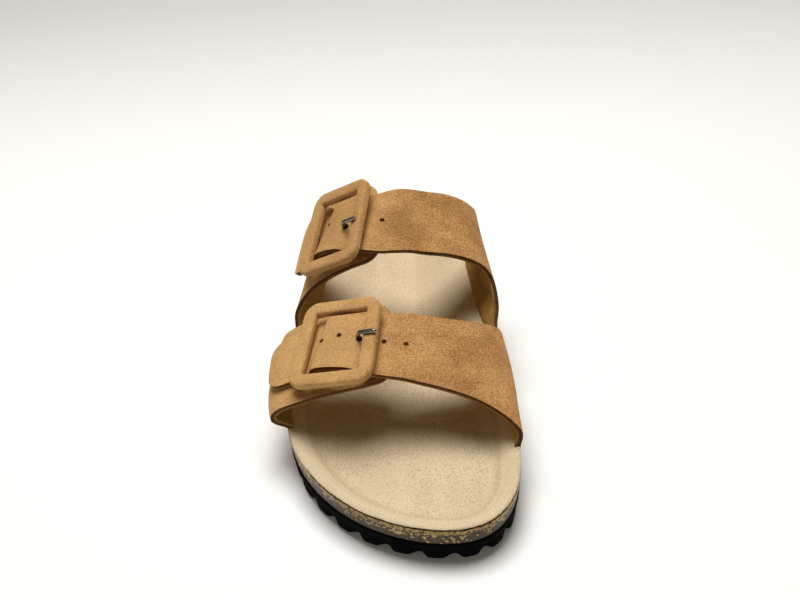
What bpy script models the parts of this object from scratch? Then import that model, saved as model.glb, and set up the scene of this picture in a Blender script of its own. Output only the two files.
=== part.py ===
"""Right-foot two-strap footbed sandal, built as its maker assembles it.

A lugged foam outsole carries a moulded cork footbed, which is lined by an insole. A medial quarter with
two long straps and a lateral quarter with two tabs stand in a rebate of the footbed's edge. Each strap
runs over its tab, through a covered buckle frame and over the bar of a steel pin.

The tables are in millimetres. Station is the distance from the toe tip towards the heel. X points to
the medial side, Y from the toe to the heel and Z up. The lugs stand on Z = 0.
"""

import math

import bmesh
import bpy
import numpy as np
from mathutils import Vector

MM = 0.001
GAP = 0.3

# Driving sizes of the sole
SOLE_LENGTH = 260.0
SIDE_SHIFT = 6.4
INSOLE_THICKNESS = 1.5
CORK_FOOT_INSET = 1.0
OUTSOLE_TOP_INSET = 0.6
OUTSOLE_FOOT_INSET = 2.2
SHEER_HEIGHT = 4.0
SOLE_ROWS = 42
SOLE_COLUMNS = 12

# Driving sizes of the tread
LUGS_PER_SIDE = 20
GROOVE_DEPTH = 4.0
GROOVE_REACH = 12.0
GROOVE_END = 1.5

# Driving sizes of the upper
STRAP_THICKNESS = 2.6
TUCK = 5.0
REBATE_RISE = 9.0
STRAP_END_RADIUS = 5.0
TAB_END_RADIUS = 8.0
MEDIAL_JOIN = 0.085
MEDIAL_NOTCH = 0.045
LATERAL_JOIN = 0.905
LATERAL_NOTCH = 0.955
STRAP_ROWS = 46
TAB_ROWS = 16
END_ROWS = 5
STRAP_COLUMNS = 6
BRIDGE_COLUMNS = 6
BASE_ROWS = 3
PROBE_SHARE = 0.012
PROBE_STATION = 2.0

# Driving sizes of a buckle
FRAME_OPENING_ALONG = 25.4
FRAME_OPENING_ACROSS = 31.2
FRAME_BAR = 6.3
FRAME_TAPER = 0.045
FRAME_THICKNESS = 4.4
FRAME_CORNER = 3.8
FRAME_CORNER_STEPS = 4
FRAME_SIDES = 10
FRAME_ROUNDNESS = 0.75
SEAT_BAND = (0.15, 0.85)
PIN_BAR_RADIUS = 1.1
LAYER_GAP = 0.5
SEAT_GAP = 0.8
PIN_LIFT = 0.9
PRONG_RADIUS = 1.0
PRONG_CLEARANCE = 0.35
HOLE_RADIUS = 1.5
HOLE_BELOW = 1.0
HOLE_ABOVE = 14.0

# Plan of the footbed's edge: share of the length, lateral x, medial x
OUTLINE = (
    (0.00, 16.0, 16.0),
    (0.03, -11.5, 35.0),
    (0.10, -33.2, 44.2),
    (0.20, -48.3, 47.0),
    (0.30, -53.8, 46.6),
    (0.40, -52.0, 43.0),
    (0.50, -48.0, 38.4),
    (0.62, -43.4, 35.0),
    (0.75, -38.6, 33.4),
    (0.88, -34.6, 31.0),
    (0.97, -19.5, 17.5),
    (1.00, -1.0, -1.0),
)

# Side view of the outsole: share of the length, underside, upper side
OUTSOLE_PROFILE = (
    (0.00, 2.6, 11.8),
    (0.08, 0.9, 11.6),
    (0.18, 0.0, 11.6),
    (0.50, 0.0, 12.2),
    (0.90, 0.0, 12.6),
    (1.00, 0.8, 12.8),
)

# Top of the insole: share of the length, floor, lateral rim, medial rim, lateral reach, medial reach
FOOTBED = (
    (0.00, 17.2, 20.6, 20.6, 11.0, 11.0),
    (0.10, 16.6, 20.8, 21.4, 12.0, 12.0),
    (0.20, 16.8, 21.8, 24.4, 13.0, 15.0),
    (0.29, 18.6, 23.6, 27.4, 15.0, 20.0),
    (0.38, 18.4, 26.6, 30.6, 18.0, 28.0),
    (0.50, 21.0, 29.6, 35.0, 21.0, 34.0),
    (0.62, 20.6, 31.2, 37.2, 24.0, 33.0),
    (0.80, 18.6, 33.6, 37.0, 28.0, 29.0),
    (1.00, 19.0, 36.5, 36.5, 30.0, 30.0),
)

# Sections of the last under the straps: station, crown height, crown x, medial bulge, lateral bulge,
# medial fullness, lateral fullness. The rises are where a wall is widest, as shares of the crown's height
LAST = (
    (30.0, 33.0, 10.0, 2.6, 6.0, 2.0, 1.9),
    (65.0, 46.0, 8.0, 0.1, 7.3, 1.95, 1.85),
    (100.0, 59.0, 4.0, 0.8, 6.0, 2.0, 1.75),
    (130.0, 73.0, -6.0, 5.0, 2.2, 2.5, 1.58),
    (165.0, 86.2, -10.0, 4.4, 1.5, 2.6, 1.53),
    (200.0, 97.0, -12.0, 4.0, 1.5, 2.6, 1.53),
)
MEDIAL_RISE = 0.32
LATERAL_RISE = 0.30

# Edges of the straps: share of the way from the medial to the lateral rim, front station, rear station
FRONT_STRAP = (
    (-0.05, 45.5, 102.0),
    (0.0, 45.5, 102.0),
    (0.06, 46.6, 102.0),
    (0.1, 49.0, 101.0),
    (0.16, 52.8, 97.5),
    (0.24, 56.7, 95.0),
    (0.31, 59.4, 94.7),
    (0.43, 62.6, 94.4),
    (0.53, 64.9, 93.5),
    (0.55, 65.7, 92.8),
    (0.576, 66.5, 93.4),
    (0.614, 67.7, 94.6),
    (0.652, 68.9, 95.9),
    (0.69, 70.2, 97.3),
    (0.72, 71.3, 98.2),
    (0.84, 72.8, 97.6),
    (0.95, 76.5, 98.8),
)
REAR_STRAP = (
    (-0.05, 118.5, 178.0),
    (0.0, 118.5, 178.0),
    (0.06, 119.5, 178.0),
    (0.1, 122.5, 177.5),
    (0.16, 128.5, 177.0),
    (0.2, 129.0, 174.0),
    (0.24, 128.6, 168.7),
    (0.31, 128.0, 163.6),
    (0.43, 127.2, 157.8),
    (0.53, 124.8, 153.7),
    (0.575, 125.5, 151.6),
    (0.599, 126.5, 152.9),
    (0.634, 128.1, 155.8),
    (0.669, 129.7, 160.7),
    (0.703, 131.7, 168.4),
    (0.731, 133.8, 170.6),
    (0.83, 140.0, 172.0),
    (0.95, 145.0, 174.0),
)
FRONT_TAB = (
    (0.46, 65.5, 104.5),
    (0.52, 65.2, 103.8),
    (0.6, 64.0, 103.0),
    (0.8, 63.3, 106.0),
    (0.9, 65.0, 109.5),
    (1.0, 67.5, 113.0),
    (1.05, 67.5, 113.0),
)
REAR_TAB = (
    (0.48, 126.5, 168.0),
    (0.6, 126.0, 169.0),
    (0.66, 126.3, 174.5),
    (0.72, 126.8, 176.0),
    (0.8, 127.5, 176.5),
    (0.9, 126.0, 178.0),
    (1.0, 124.5, 180.0),
    (1.05, 124.5, 180.0),
)

# Lift of a strap over its tab and pin: distance from the frame's middle towards the medial side, and lift
FRONT_LIFT = (
    (-60.0, 0.0),
    (-18.0, 0.0),
    (-13.0, 0.0),
    (-9.2, 4.6),
    (-5.3, 6.0),
    (-1.3, 6.3),
    (2.7, 6.3),
    (7.0, 5.7),
    (9.2, 4.5),
    (11.2, 2.3),
    (17.5, 2.3),
    (28.0, 1.0),
    (40.0, 0.0),
    (90.0, 0.0),
)
REAR_LIFT = (
    (-60.0, 3.6),
    (-30.0, 2.6),
    (-20.0, 1.1),
    (-13.0, 0.0),
    (-9.6, 4.6),
    (-6.8, 6.4),
    (-3.4, 7.3),
    (0.6, 7.7),
    (4.5, 7.6),
    (8.6, 5.4),
    (15.0, 6.2),
    (27.0, 3.0),
    (45.0, 0.0),
    (90.0, 0.0),
)

# Buckles: share and station of the frame's middle, stations of the medial and lateral ends of the line that
# it lies along, medial end of the tab, end of the strap's tail, how far the frame's medial side is turned to
# the toe and tipped up, in degrees, the lift and its slant, the prong's root, tip and shift to the heel,
# rise of the pin's toe end, and the holes' distances towards the medial side and the heel
FRONT_BUCKLE = {
    "share": 0.627,
    "station": 81.86,
    "line": (80.97, 83.79),
    "tab_end": 0.478,
    "tail_end": 0.88,
    "turn": 9.0,
    "tip": 8.5,
    "lift": FRONT_LIFT,
    "slant": 0.33,
    "prong": (9.9, 19.8, 1.8),
    "pin_rise": 0.0,
    "holes": ((-8.0, 1.1), (-0.3, 2.9), (17.5, 1.5), (26.5, 0.9)),
}
REAR_BUCKLE = {
    "share": 0.632,
    "station": 142.23,
    "line": (142.85, 147.24),
    "tab_end": 0.54,
    "tail_end": 0.853,
    "turn": 17.0,
    "tip": 15.0,
    "lift": REAR_LIFT,
    "slant": 0.58,
    "prong": (7.0, 17.4, -1.6),
    "pin_rise": 1.5,
    "holes": ((-4.8, 0.6), (9.0, 0.4), (15.1, -1.1)),
}
TAB_RAMP = 24.0

# Prong: distance past its root, share of its climb from bar to frame
PRONG_CLIMB = (
    (-3.0, 0.12),
    (-1.2, 0.40),
    (0.2, 0.75),
    (1.6, 0.97),
    (2.6, 1.00),
)

SUEDE = ((0.52, 0.31, 0.14, 1.0), 0.92, 0.0)
LINING = ((0.78, 0.64, 0.45, 1.0), 0.9, 0.0)
CORK = ((0.36, 0.25, 0.16, 1.0), 0.7, 0.0)
FOAM = ((0.012, 0.012, 0.012, 1.0), 0.8, 0.0)
STEEL = ((0.38, 0.36, 0.33, 1.0), 0.35, 1.0)


# Interpolation


def column(table, index):
    """One column of a table as an array."""
    return np.array([row[index] for row in table], float)


def smooth_step(value, low, high):
    """0 at low, 1 at high, with level ends."""
    share = np.clip((value - low) / (high - low), 0.0, 1.0)
    return share * share * (3.0 - 2.0 * share)


def hermite(x, knots, values, slopes):
    """Cubic through the knots with these slopes."""
    i = np.clip(np.searchsorted(knots, x, side="right") - 1, 0, len(knots) - 2)
    step = knots[i + 1] - knots[i]
    t = (x - knots[i]) / step
    start = (1 + 2 * t) * (1 - t) ** 2 * values[i] + t * (1 - t) ** 2 * step * slopes[i]
    end = t * t * (3 - 2 * t) * values[i + 1] + t * t * (t - 1) * step * slopes[i + 1]
    return start + end


def along(table, index, x):
    """A table's column as a smooth curve over its first column, which never swings past its rows."""
    knots = column(table, 0)
    values = column(table, index)
    rises = np.diff(values) / np.diff(knots)
    before, after = rises[:-1], rises[1:]
    same_way = before * after > 0.0
    inner = np.where(same_way, 2.0 * before * after / np.where(same_way, before + after, 1.0), 0.0)
    slopes = np.concatenate([rises[:1], inner, rises[-1:]])
    return hermite(np.clip(x, knots[0], knots[-1]), knots, values, slopes)


def closed_spline(knots, values):
    """Slopes of the smooth closed curve whose last knot repeats the first."""
    steps = np.diff(knots)
    rises = np.diff(values) / steps
    count = len(steps)
    matrix = np.zeros((count, count))
    right = np.zeros(count)
    for i in range(count):
        before = i - 1
        matrix[i, before] += steps[i]
        matrix[i, i] += 2 * (steps[before] + steps[i])
        matrix[i, (i + 1) % count] += steps[before]
        right[i] = 3 * (steps[i] * rises[before] + steps[before] * rises[i])
    slopes = np.linalg.solve(matrix, right)
    return np.append(slopes, slopes[0])


# Plan and surfaces of the sole


def outline_curve():
    """Knots, values and slopes of the edge's x over an angle that runs from heel to toe to heel."""
    angles = np.arccos(1.0 - 2.0 * column(OUTLINE, 0))
    knots = np.concatenate([-angles[::-1], angles[1:]])
    values = np.concatenate([column(OUTLINE, 1)[::-1], column(OUTLINE, 2)[1:]])
    return knots, values, closed_spline(knots, values)


EDGE_CURVE = outline_curve()


def edge_at(angle):
    """Points of the footbed's edge in plan. Negative angles are lateral, 0 is the toe."""
    x = hermite(angle, *EDGE_CURVE)
    return np.stack([x, SOLE_LENGTH * (1.0 - np.cos(angle)) / 2.0], axis=-1)


def edge_x(station, side):
    """The edge's x at a station, on the lateral (-1) or medial (1) side."""
    angle = math.acos(min(1.0, max(-1.0, 1.0 - 2.0 * station / SOLE_LENGTH)))
    return float(hermite(np.array(side * angle), *EDGE_CURVE))


FINE_EDGE = edge_at(np.linspace(-math.pi, math.pi, 721))


def edge_row(side, count):
    """count + 1 points along one side's edge, from toe to heel, at even distances, as angles."""
    angles = side * np.linspace(0.0, math.pi, 721)
    points = edge_at(angles)
    walked = np.concatenate([[0.0], np.cumsum(np.linalg.norm(np.diff(points, axis=0), axis=1))])
    return np.interp(np.linspace(0.0, walked[-1], count + 1), walked, angles)


def inset_edge(angle, inset):
    """The edge's points moved inwards by a distance."""
    points = edge_at(angle)
    tangent = edge_at(angle + 1e-3) - edge_at(angle - 1e-3)
    tangent /= np.linalg.norm(tangent, axis=-1, keepdims=True)
    inward = np.stack([-tangent[..., 1], tangent[..., 0]], axis=-1)
    return points + inward * np.asarray(inset)[..., None]


def edge_distance(x, station):
    """Distance of plan points from the footbed's edge."""
    points = np.stack([x, station], axis=-1).reshape(-1, 1, 2)
    return np.linalg.norm(points - FINE_EDGE[None], axis=2).min(axis=1).reshape(np.shape(x))


def insole_top(x, station, across):
    """Height of the insole's upper face. across runs from -1 at the lateral edge to 1 at the medial one."""
    share = station / SOLE_LENGTH
    floor = along(FOOTBED, 1, share)
    medial = smooth_step(across, -0.5, 0.5)
    rim = along(FOOTBED, 2, share) * (1 - medial) + along(FOOTBED, 3, share) * medial
    reach = along(FOOTBED, 4, share) * (1 - medial) + along(FOOTBED, 5, share) * medial
    bowl = 1.0 - smooth_step(edge_distance(x, station), 0.0, reach)
    return floor + (rim - floor) * bowl


def rim_height(station, side):
    """Height of the insole's edge."""
    return float(along(FOOTBED, 2 if side < 0 else 3, np.array(station / SOLE_LENGTH)))


# The last under the straps


def section(station):
    """Points of the last's section from the medial tuck over the crown to the lateral tuck."""
    crown, crown_x, *rest = (float(along(LAST, i, np.array(station))) for i in range(1, 7))
    bulges, fullness = rest[:2], rest[2:]
    halves = []
    for side, rise_share, bulge, power in zip((1, -1), (MEDIAL_RISE, LATERAL_RISE), bulges, fullness):
        rim = rim_height(station, side)
        rise = rise_share * (crown - rim)
        foot = edge_x(station, side) - side * STRAP_THICKNESS
        widest = foot + side * bulge
        climb = np.linspace(0.0, 1.0, 9)
        flare_x = foot + side * bulge * smooth_step(climb, 0.0, 1.0)
        flare_z = rim + rise * climb
        turn = np.linspace(0.0, math.pi / 2, 33)[1:]
        arch_x = crown_x + (widest - crown_x) * np.cos(turn).clip(0.0) ** (2.0 / power)
        arch_z = rim + rise + (crown - rim - rise) * np.sin(turn) ** (2.0 / power)
        x = np.concatenate([[foot], flare_x, arch_x])
        z = np.concatenate([[rim - 2 * TUCK], flare_z, arch_z])
        halves.append(np.stack([x, z], axis=-1))
    medial, lateral = halves
    return np.concatenate([medial, lateral[::-1][1:]])


def section_shares(points):
    """Share of each point on the way from the medial rim (0) to the lateral rim (1)."""
    walked = np.concatenate([[0.0], np.cumsum(np.linalg.norm(np.diff(points, axis=0), axis=1))])
    return (walked - walked[1]) / (walked[-2] - walked[1]), walked[-2] - walked[1]


def girth(station):
    """Length of the last's section between its two rims."""
    return section_shares(section(station))[1]


def last_point(station, share):
    """A point of the last."""
    points = section(station)
    shares = section_shares(points)[0]
    side = np.interp(share, shares, points[:, 0])
    height = np.interp(share, shares, points[:, 1])
    return np.array([side, station, height])


def last_normal(station, share):
    """Outward normal of the last."""
    run = last_point(station, share + PROBE_SHARE) - last_point(station, share - PROBE_SHARE)
    back = last_point(station + PROBE_STATION, share) - last_point(station - PROBE_STATION, share)
    normal = np.cross(back, run)
    return normal / np.linalg.norm(normal)


def on_last(station, share, lift):
    """A point at a height over the last."""
    return last_point(station, share) + lift * last_normal(station, share)


# Mesh helpers


def to_world(point):
    """A point of the tables' frame as Blender coordinates in metres."""
    x, station, z = point
    return Vector(((x + SIDE_SHIFT) * MM, (station - SOLE_LENGTH / 2.0) * MM, z * MM))


def material(name, finish):
    """A plain finish from its colour, roughness and metallic value."""
    made = bpy.data.materials.get(name) or bpy.data.materials.new(name)
    made.use_nodes = True
    shader = made.node_tree.nodes["Principled BSDF"]
    shader.inputs["Base Color"].default_value = finish[0]
    shader.inputs["Roughness"].default_value = finish[1]
    shader.inputs["Metallic"].default_value = finish[2]
    made.diffuse_color = finish[0]
    return made


def add_object(name, bm, finish_name=None, finish=None):
    """A bmesh as a linked object, with its material unless it is a cutter."""
    mesh = bpy.data.meshes.new(name)
    bm.to_mesh(mesh)
    bm.free()
    made = bpy.data.objects.new(name, mesh)
    bpy.context.scene.collection.objects.link(made)
    if finish is None:
        made.hide_render = True
        made.display_type = "WIRE"
    else:
        mesh.materials.append(material(finish_name, finish))
        mesh.shade_smooth()
        mesh.set_sharp_from_angle(angle=math.radians(35))
    return made


def add_points(bm, points):
    """Vertices at rows of points of the tables' frame."""
    return [[bm.verts.new(to_world(p)) for p in row] for row in points]


def fill_grid(bm, rows):
    """Quads between neighbouring rows, or triangles where a row has shrunk to one vertex."""
    for low, high in zip(rows, rows[1:]):
        for i in range(len(low) - 1):
            corners = list(dict.fromkeys((low[i], low[i + 1], high[i + 1], high[i])))
            bm.faces.new(corners)


def tube(bm, path, radius, sides):
    """A round rod with closed ends along points of the tables' frame."""
    points = [to_world(p) for p in path]
    normal = None
    rings = []
    for i, point in enumerate(points):
        ahead = (points[min(i + 1, len(points) - 1)] - points[max(i - 1, 0)]).normalized()
        if normal is None:
            normal = ahead.orthogonal()
        normal = (normal - ahead * normal.dot(ahead)).normalized()
        side = ahead.cross(normal)
        turns = [2.0 * math.pi * k / sides for k in range(sides)]
        ring = [point + (normal * math.cos(a) + side * math.sin(a)) * radius * MM for a in turns]
        rings.append([bm.verts.new(p) for p in ring])
    for low, high in zip(rings, rings[1:]):
        for k in range(sides):
            bm.faces.new((low[k], low[(k + 1) % sides], high[(k + 1) % sides], high[k]))
    bm.faces.new(rings[0][::-1])
    bm.faces.new(rings[-1])


def solidify(made, thickness):
    """A wall of this thickness on the outer side of a surface."""
    wall = made.modifiers.new("wall", "SOLIDIFY")
    wall.thickness = thickness * MM
    wall.offset = 1.0
    wall.use_even_offset = True


def cut(made, cutter):
    """Takes a cutter's shape out of an object."""
    modifier = made.modifiers.new(cutter.name, "BOOLEAN")
    modifier.operation = "DIFFERENCE"
    modifier.object = cutter


# Sole


def footbed_rows(drop):
    """Points of the insole's top, lowered by a drop, from the lateral to the medial edge, row by row."""
    lateral = edge_at(edge_row(-1, SOLE_ROWS))
    medial = edge_at(edge_row(1, SOLE_ROWS))
    shares = 0.5 - 0.5 * np.cos(np.linspace(0.0, math.pi, SOLE_COLUMNS + 1))
    rows = []
    for left, right in zip(lateral, medial):
        plan = left + (right - left) * shares[:, None]
        height = insole_top(plan[:, 0], plan[:, 1], shares * 2.0 - 1.0) - drop
        rows.append(np.column_stack([plan, height]))
    return rows


def surface_verts(bm, rows):
    """Vertices of a footbed surface, whose first and last rows shrink to the toe and heel points."""
    ends = (0, len(rows) - 1)
    verts = []
    for i, row in enumerate(rows):
        if i in ends:
            verts.append([bm.verts.new(to_world(row[0]))] * len(row))
        else:
            verts.append([bm.verts.new(to_world(p)) for p in row])
    return verts


def rim_loop(rows):
    """The closed edge of a footbed surface: down the medial side and back up the lateral side."""
    return [row[-1] for row in rows[:-1]] + [row[0] for row in rows[:0:-1]]


def band(bm, upper, lower):
    """Quads between two closed loops of the same length."""
    for i in range(len(upper)):
        j = (i + 1) % len(upper)
        bm.faces.new((upper[i], upper[j], lower[j], lower[i]))


def ladder(bm, loop):
    """Fills a closed loop that runs down one side and up the other."""
    half = len(loop) // 2
    for i in range(half):
        corners = (loop[i], loop[i + 1], loop[-i - 1], loop[-i])
        bm.faces.new(list(dict.fromkeys(corners)))


def sole_loop(count, inset, height):
    """Points of a closed loop inside the edge, at heights from a function of the share of the length."""
    angles = np.concatenate([edge_row(1, count)[:-1], edge_row(-1, count)[:0:-1]])
    plan = inset_edge(angles, np.full(len(angles), inset))
    shares = np.clip(plan[:, 1] / SOLE_LENGTH, 0.0, 1.0)
    return np.column_stack([plan, height(shares)])


def orient(bm):
    """Turns a closed mesh's faces outwards."""
    bmesh.ops.recalc_face_normals(bm, faces=bm.faces)


def build_insole():
    """Lining sheet over the footbed, as thick as the real one."""
    bm = bmesh.new()
    top = surface_verts(bm, footbed_rows(0.0))
    under = surface_verts(bm, footbed_rows(INSOLE_THICKNESS))
    fill_grid(bm, top)
    fill_grid(bm, under)
    band(bm, rim_loop(top), rim_loop(under))
    orient(bm)
    return add_object("insole", bm, "insole_lining", LINING)


def build_footbed():
    """Moulded cork body, with a sheer upper edge and a slightly smaller foot."""
    bm = bmesh.new()
    drop = INSOLE_THICKNESS + GAP
    top = surface_verts(bm, footbed_rows(drop))
    fill_grid(bm, top)
    rim = rim_loop(top)
    foot_points = sole_loop(SOLE_ROWS, CORK_FOOT_INSET, lambda s: along(OUTSOLE_PROFILE, 2, s) + GAP)
    sheer_points = sole_loop(SOLE_ROWS, 0.0, lambda s: 0.0 * s)
    for point, vert in zip(sheer_points, rim):
        point[2] = vert.co.z / MM - SHEER_HEIGHT
    sheer = [bm.verts.new(to_world(p)) for p in sheer_points]
    foot = [bm.verts.new(to_world(p)) for p in foot_points]
    band(bm, rim, sheer)
    band(bm, sheer, foot)
    ladder(bm, foot)
    orient(bm)
    return add_object("cork_footbed", bm, "cork", CORK)


# Lug wave along the edge: share of the pitch, depth as a share of the groove
LUG_WAVE = ((0.00, 0.0), (0.54, 0.0), (0.66, 1.0), (0.88, 1.0))


def build_outsole():
    """Foam outsole whose edge is cut into lugs by grooves that run inwards."""
    bm = bmesh.new()
    steps = LUGS_PER_SIDE * 2 * len(LUG_WAVE)
    walk = np.concatenate([edge_row(-1, 1000)[::-1], edge_row(1, 1000)[1:]])
    points = edge_at(walk)
    walked = np.concatenate([[0.0], np.cumsum(np.linalg.norm(np.diff(points, axis=0), axis=1))])
    pitch = walked[-1] / (2 * LUGS_PER_SIDE)
    places = [(lug + share) * pitch for lug in range(2 * LUGS_PER_SIDE) for share, _ in LUG_WAVE]
    wave = np.array([depth for _ in range(2 * LUGS_PER_SIDE) for _, depth in LUG_WAVE])
    angles = np.interp(places, walked, walk)

    def ring(inset, height):
        plan = inset_edge(angles, np.full(steps, inset))
        shares = np.clip(plan[:, 1] / SOLE_LENGTH, 0.0, 1.0)
        return [bm.verts.new(to_world(p)) for p in np.column_stack([plan, height(shares)])]

    def upper(shares):
        return along(OUTSOLE_PROFILE, 2, shares)

    def under(shares):
        return along(OUTSOLE_PROFILE, 1, shares)

    loops = [
        ring(OUTSOLE_TOP_INSET, upper),
        ring(OUTSOLE_FOOT_INSET, lambda s: under(s) + GROOVE_DEPTH * wave),
        ring(OUTSOLE_FOOT_INSET + GROOVE_REACH, lambda s: under(s) + GROOVE_DEPTH * wave),
        ring(OUTSOLE_FOOT_INSET + GROOVE_REACH + GROOVE_END, under),
    ]
    for high, low in zip(loops, loops[1:]):
        band(bm, high, low)
    ladder(bm, loops[0])
    ladder(bm, loops[-1])
    orient(bm)
    return add_object("outsole", bm, "foam", FOAM)


# Upper


def end_narrowing(distance, radius):
    """How far a strap's edge draws in at a distance from its rounded end."""
    inside = max(0.0, radius - max(0.0, distance))
    return radius - math.sqrt(max(0.0, radius * radius - inside * inside))


def strap_station(table, share, across, end_share, radius):
    """Station of a strap's point. across runs from 0 at the front edge to 1 at the rear edge."""
    front = float(along(table, 1, np.array(share)))
    rear = float(along(table, 2, np.array(share)))
    to_end = abs(end_share - share) * girth((front + rear) / 2.0)
    draw = end_narrowing(to_end, radius)
    return front + draw + (rear - front - 2.0 * draw) * across


def panel_lift(share, station, buckle):
    """Height of a strap over the last: nothing on the foot, then over its tab, and highest over the pin."""
    span = girth(buckle["station"])
    over_tab = STRAP_THICKNESS + LAYER_GAP
    to_tab = (buckle["tab_end"] - share) * span
    ramp = 1.0 - smooth_step(np.array(to_tab), 0.0, TAB_RAMP)
    towards_medial = (buckle["share"] - share) * span - buckle["slant"] * (station - buckle["station"])
    return float(over_tab * ramp + along(buckle["lift"], 1, np.array(towards_medial)))


def middle_station(table, share):
    """Station halfway between a strap's edges."""
    return float(along(table, 1, np.array(share)) + along(table, 2, np.array(share))) / 2.0


def strap_shares(start, end, end_radius, span, rows):
    """Shares of a strap's rows: evenly from start, then closer together round its end."""
    turn = end_radius / span * (1 if end > start else -1)
    body = np.linspace(start, end - turn, rows)
    tip = end - turn + turn * np.sin(np.linspace(0.0, math.pi / 2, END_ROWS + 1))[1:]
    return np.concatenate([body, tip])


def base_share(station, rim, top, row):
    """Share of a row of a quarter's base, from its foot below the rim up to the share of its top."""
    foot = rim - math.copysign(TUCK, top - rim) / girth(station)
    return foot + (top - foot) * row / BASE_ROWS


def quarter_surface(straps, base_end, bridge_low, rows):
    """Inner face of a quarter: two straps that share a base, with a rounded notch between them.

    straps holds a front and a rear entry, each with its table, its end and a lift function.
    """
    bm = bmesh.new()
    rim = 0.0 if base_end < 0.5 else 1.0
    sign = 1.0 if base_end < 0.5 else -1.0
    grids = []
    for strap in straps:
        table, end, radius, lift = strap["table"], strap["end"], strap["radius"], strap["lift"]
        span = girth(middle_station(table, end))
        grid = []
        for r in range(BASE_ROWS):
            row = []
            for k in range(STRAP_COLUMNS + 1):
                station = strap_station(table, rim, k / STRAP_COLUMNS, end, radius)
                share = base_share(station, rim, base_end, r)
                station = strap_station(table, share, k / STRAP_COLUMNS, end, radius)
                row.append(bm.verts.new(to_world(on_last(station, share, 0.0))))
            grid.append(row)
        for share in strap_shares(base_end, end, radius, span, rows):
            row = []
            for k in range(STRAP_COLUMNS + 1):
                station = strap_station(table, share, k / STRAP_COLUMNS, end, radius)
                row.append(bm.verts.new(to_world(on_last(station, share, lift(share, station)))))
            grid.append(row)
        grids.append(grid)
    for grid in grids:
        fill_grid(bm, grid)
    front, rear = straps
    edges = (float(along(front["table"], 2, np.array(rim))), float(along(rear["table"], 1, np.array(rim))))
    bridge = []
    for r in range(BASE_ROWS + 1):
        row = [grids[0][r][-1]]
        for j in range(1, BRIDGE_COLUMNS):
            t = j / BRIDGE_COLUMNS
            station = edges[0] + (edges[1] - edges[0]) * t
            hollow = math.sqrt(max(0.0, 1.0 - (2.0 * t - 1.0) ** 2))
            top = base_end - (base_end - bridge_low) * hollow
            share = base_share(station, rim, top, r)
            start = strap_station(front["table"], share, 1.0, front["end"], front["radius"])
            finish = strap_station(rear["table"], share, 0.0, rear["end"], rear["radius"])
            row.append(bm.verts.new(to_world(on_last(start + (finish - start) * t, share, 0.0))))
        row.append(grids[1][r][0])
        bridge.append(row)
    fill_grid(bm, bridge)
    face_outwards(bm, sign)
    return bm


def face_outwards(bm, sign):
    """Turns a quarter's inner face so that its normals point away from the foot."""
    bmesh.ops.recalc_face_normals(bm, faces=bm.faces)
    lowest = min(bm.faces, key=lambda f: f.calc_center_median().z)
    lowest.normal_update()
    if lowest.normal.x * sign < 0.0:
        bmesh.ops.reverse_faces(bm, faces=bm.faces)


def strap_entry(table, buckle):
    """A medial strap's table, end and lift."""
    return {
        "table": table,
        "end": buckle["tail_end"],
        "radius": STRAP_END_RADIUS,
        "lift": lambda share, station: panel_lift(share, station, buckle),
    }


def tab_entry(table, buckle):
    """A lateral tab's table, end and lift."""
    return {
        "table": table,
        "end": buckle["tab_end"],
        "radius": TAB_END_RADIUS,
        "lift": lambda share, station: 0.0,
    }


def build_upper():
    """The two quarters, each a wall of the straps' thickness."""
    medial = quarter_surface(
        [strap_entry(FRONT_STRAP, FRONT_BUCKLE), strap_entry(REAR_STRAP, REAR_BUCKLE)],
        MEDIAL_JOIN,
        MEDIAL_NOTCH,
        STRAP_ROWS,
    )
    lateral = quarter_surface(
        [tab_entry(FRONT_TAB, FRONT_BUCKLE), tab_entry(REAR_TAB, REAR_BUCKLE)],
        LATERAL_JOIN,
        LATERAL_NOTCH,
        TAB_ROWS,
    )
    made = []
    for name, surface in (("medial_straps", medial), ("lateral_tabs", lateral)):
        piece = add_object(name, surface, "suede", SUEDE)
        solidify(piece, STRAP_THICKNESS)
        made.append(piece)
    return made


def rebate_cutter(name, front, rear, side):
    """The room that a quarter's base takes out of the footbed and the insole."""
    bm = bmesh.new()
    rim_share = 0.0 if side > 0 else 1.0
    low = float(along(front, 1, np.array(rim_share))) - GAP
    high = float(along(rear, 2, np.array(rim_share))) + GAP
    rows = []
    for station in np.linspace(low, high, 25):
        span = girth(station)
        heights = (-TUCK - LAYER_GAP, 0.0, REBATE_RISE)
        rows.append([on_last(station, rim_share + side * h / span, -GAP) for h in heights])
    fill_grid(bm, add_points(bm, rows))
    face_outwards(bm, side)
    cutter = add_object(name, bm)
    solidify(cutter, STRAP_THICKNESS * 4.0)
    return cutter


# Buckles


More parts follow.
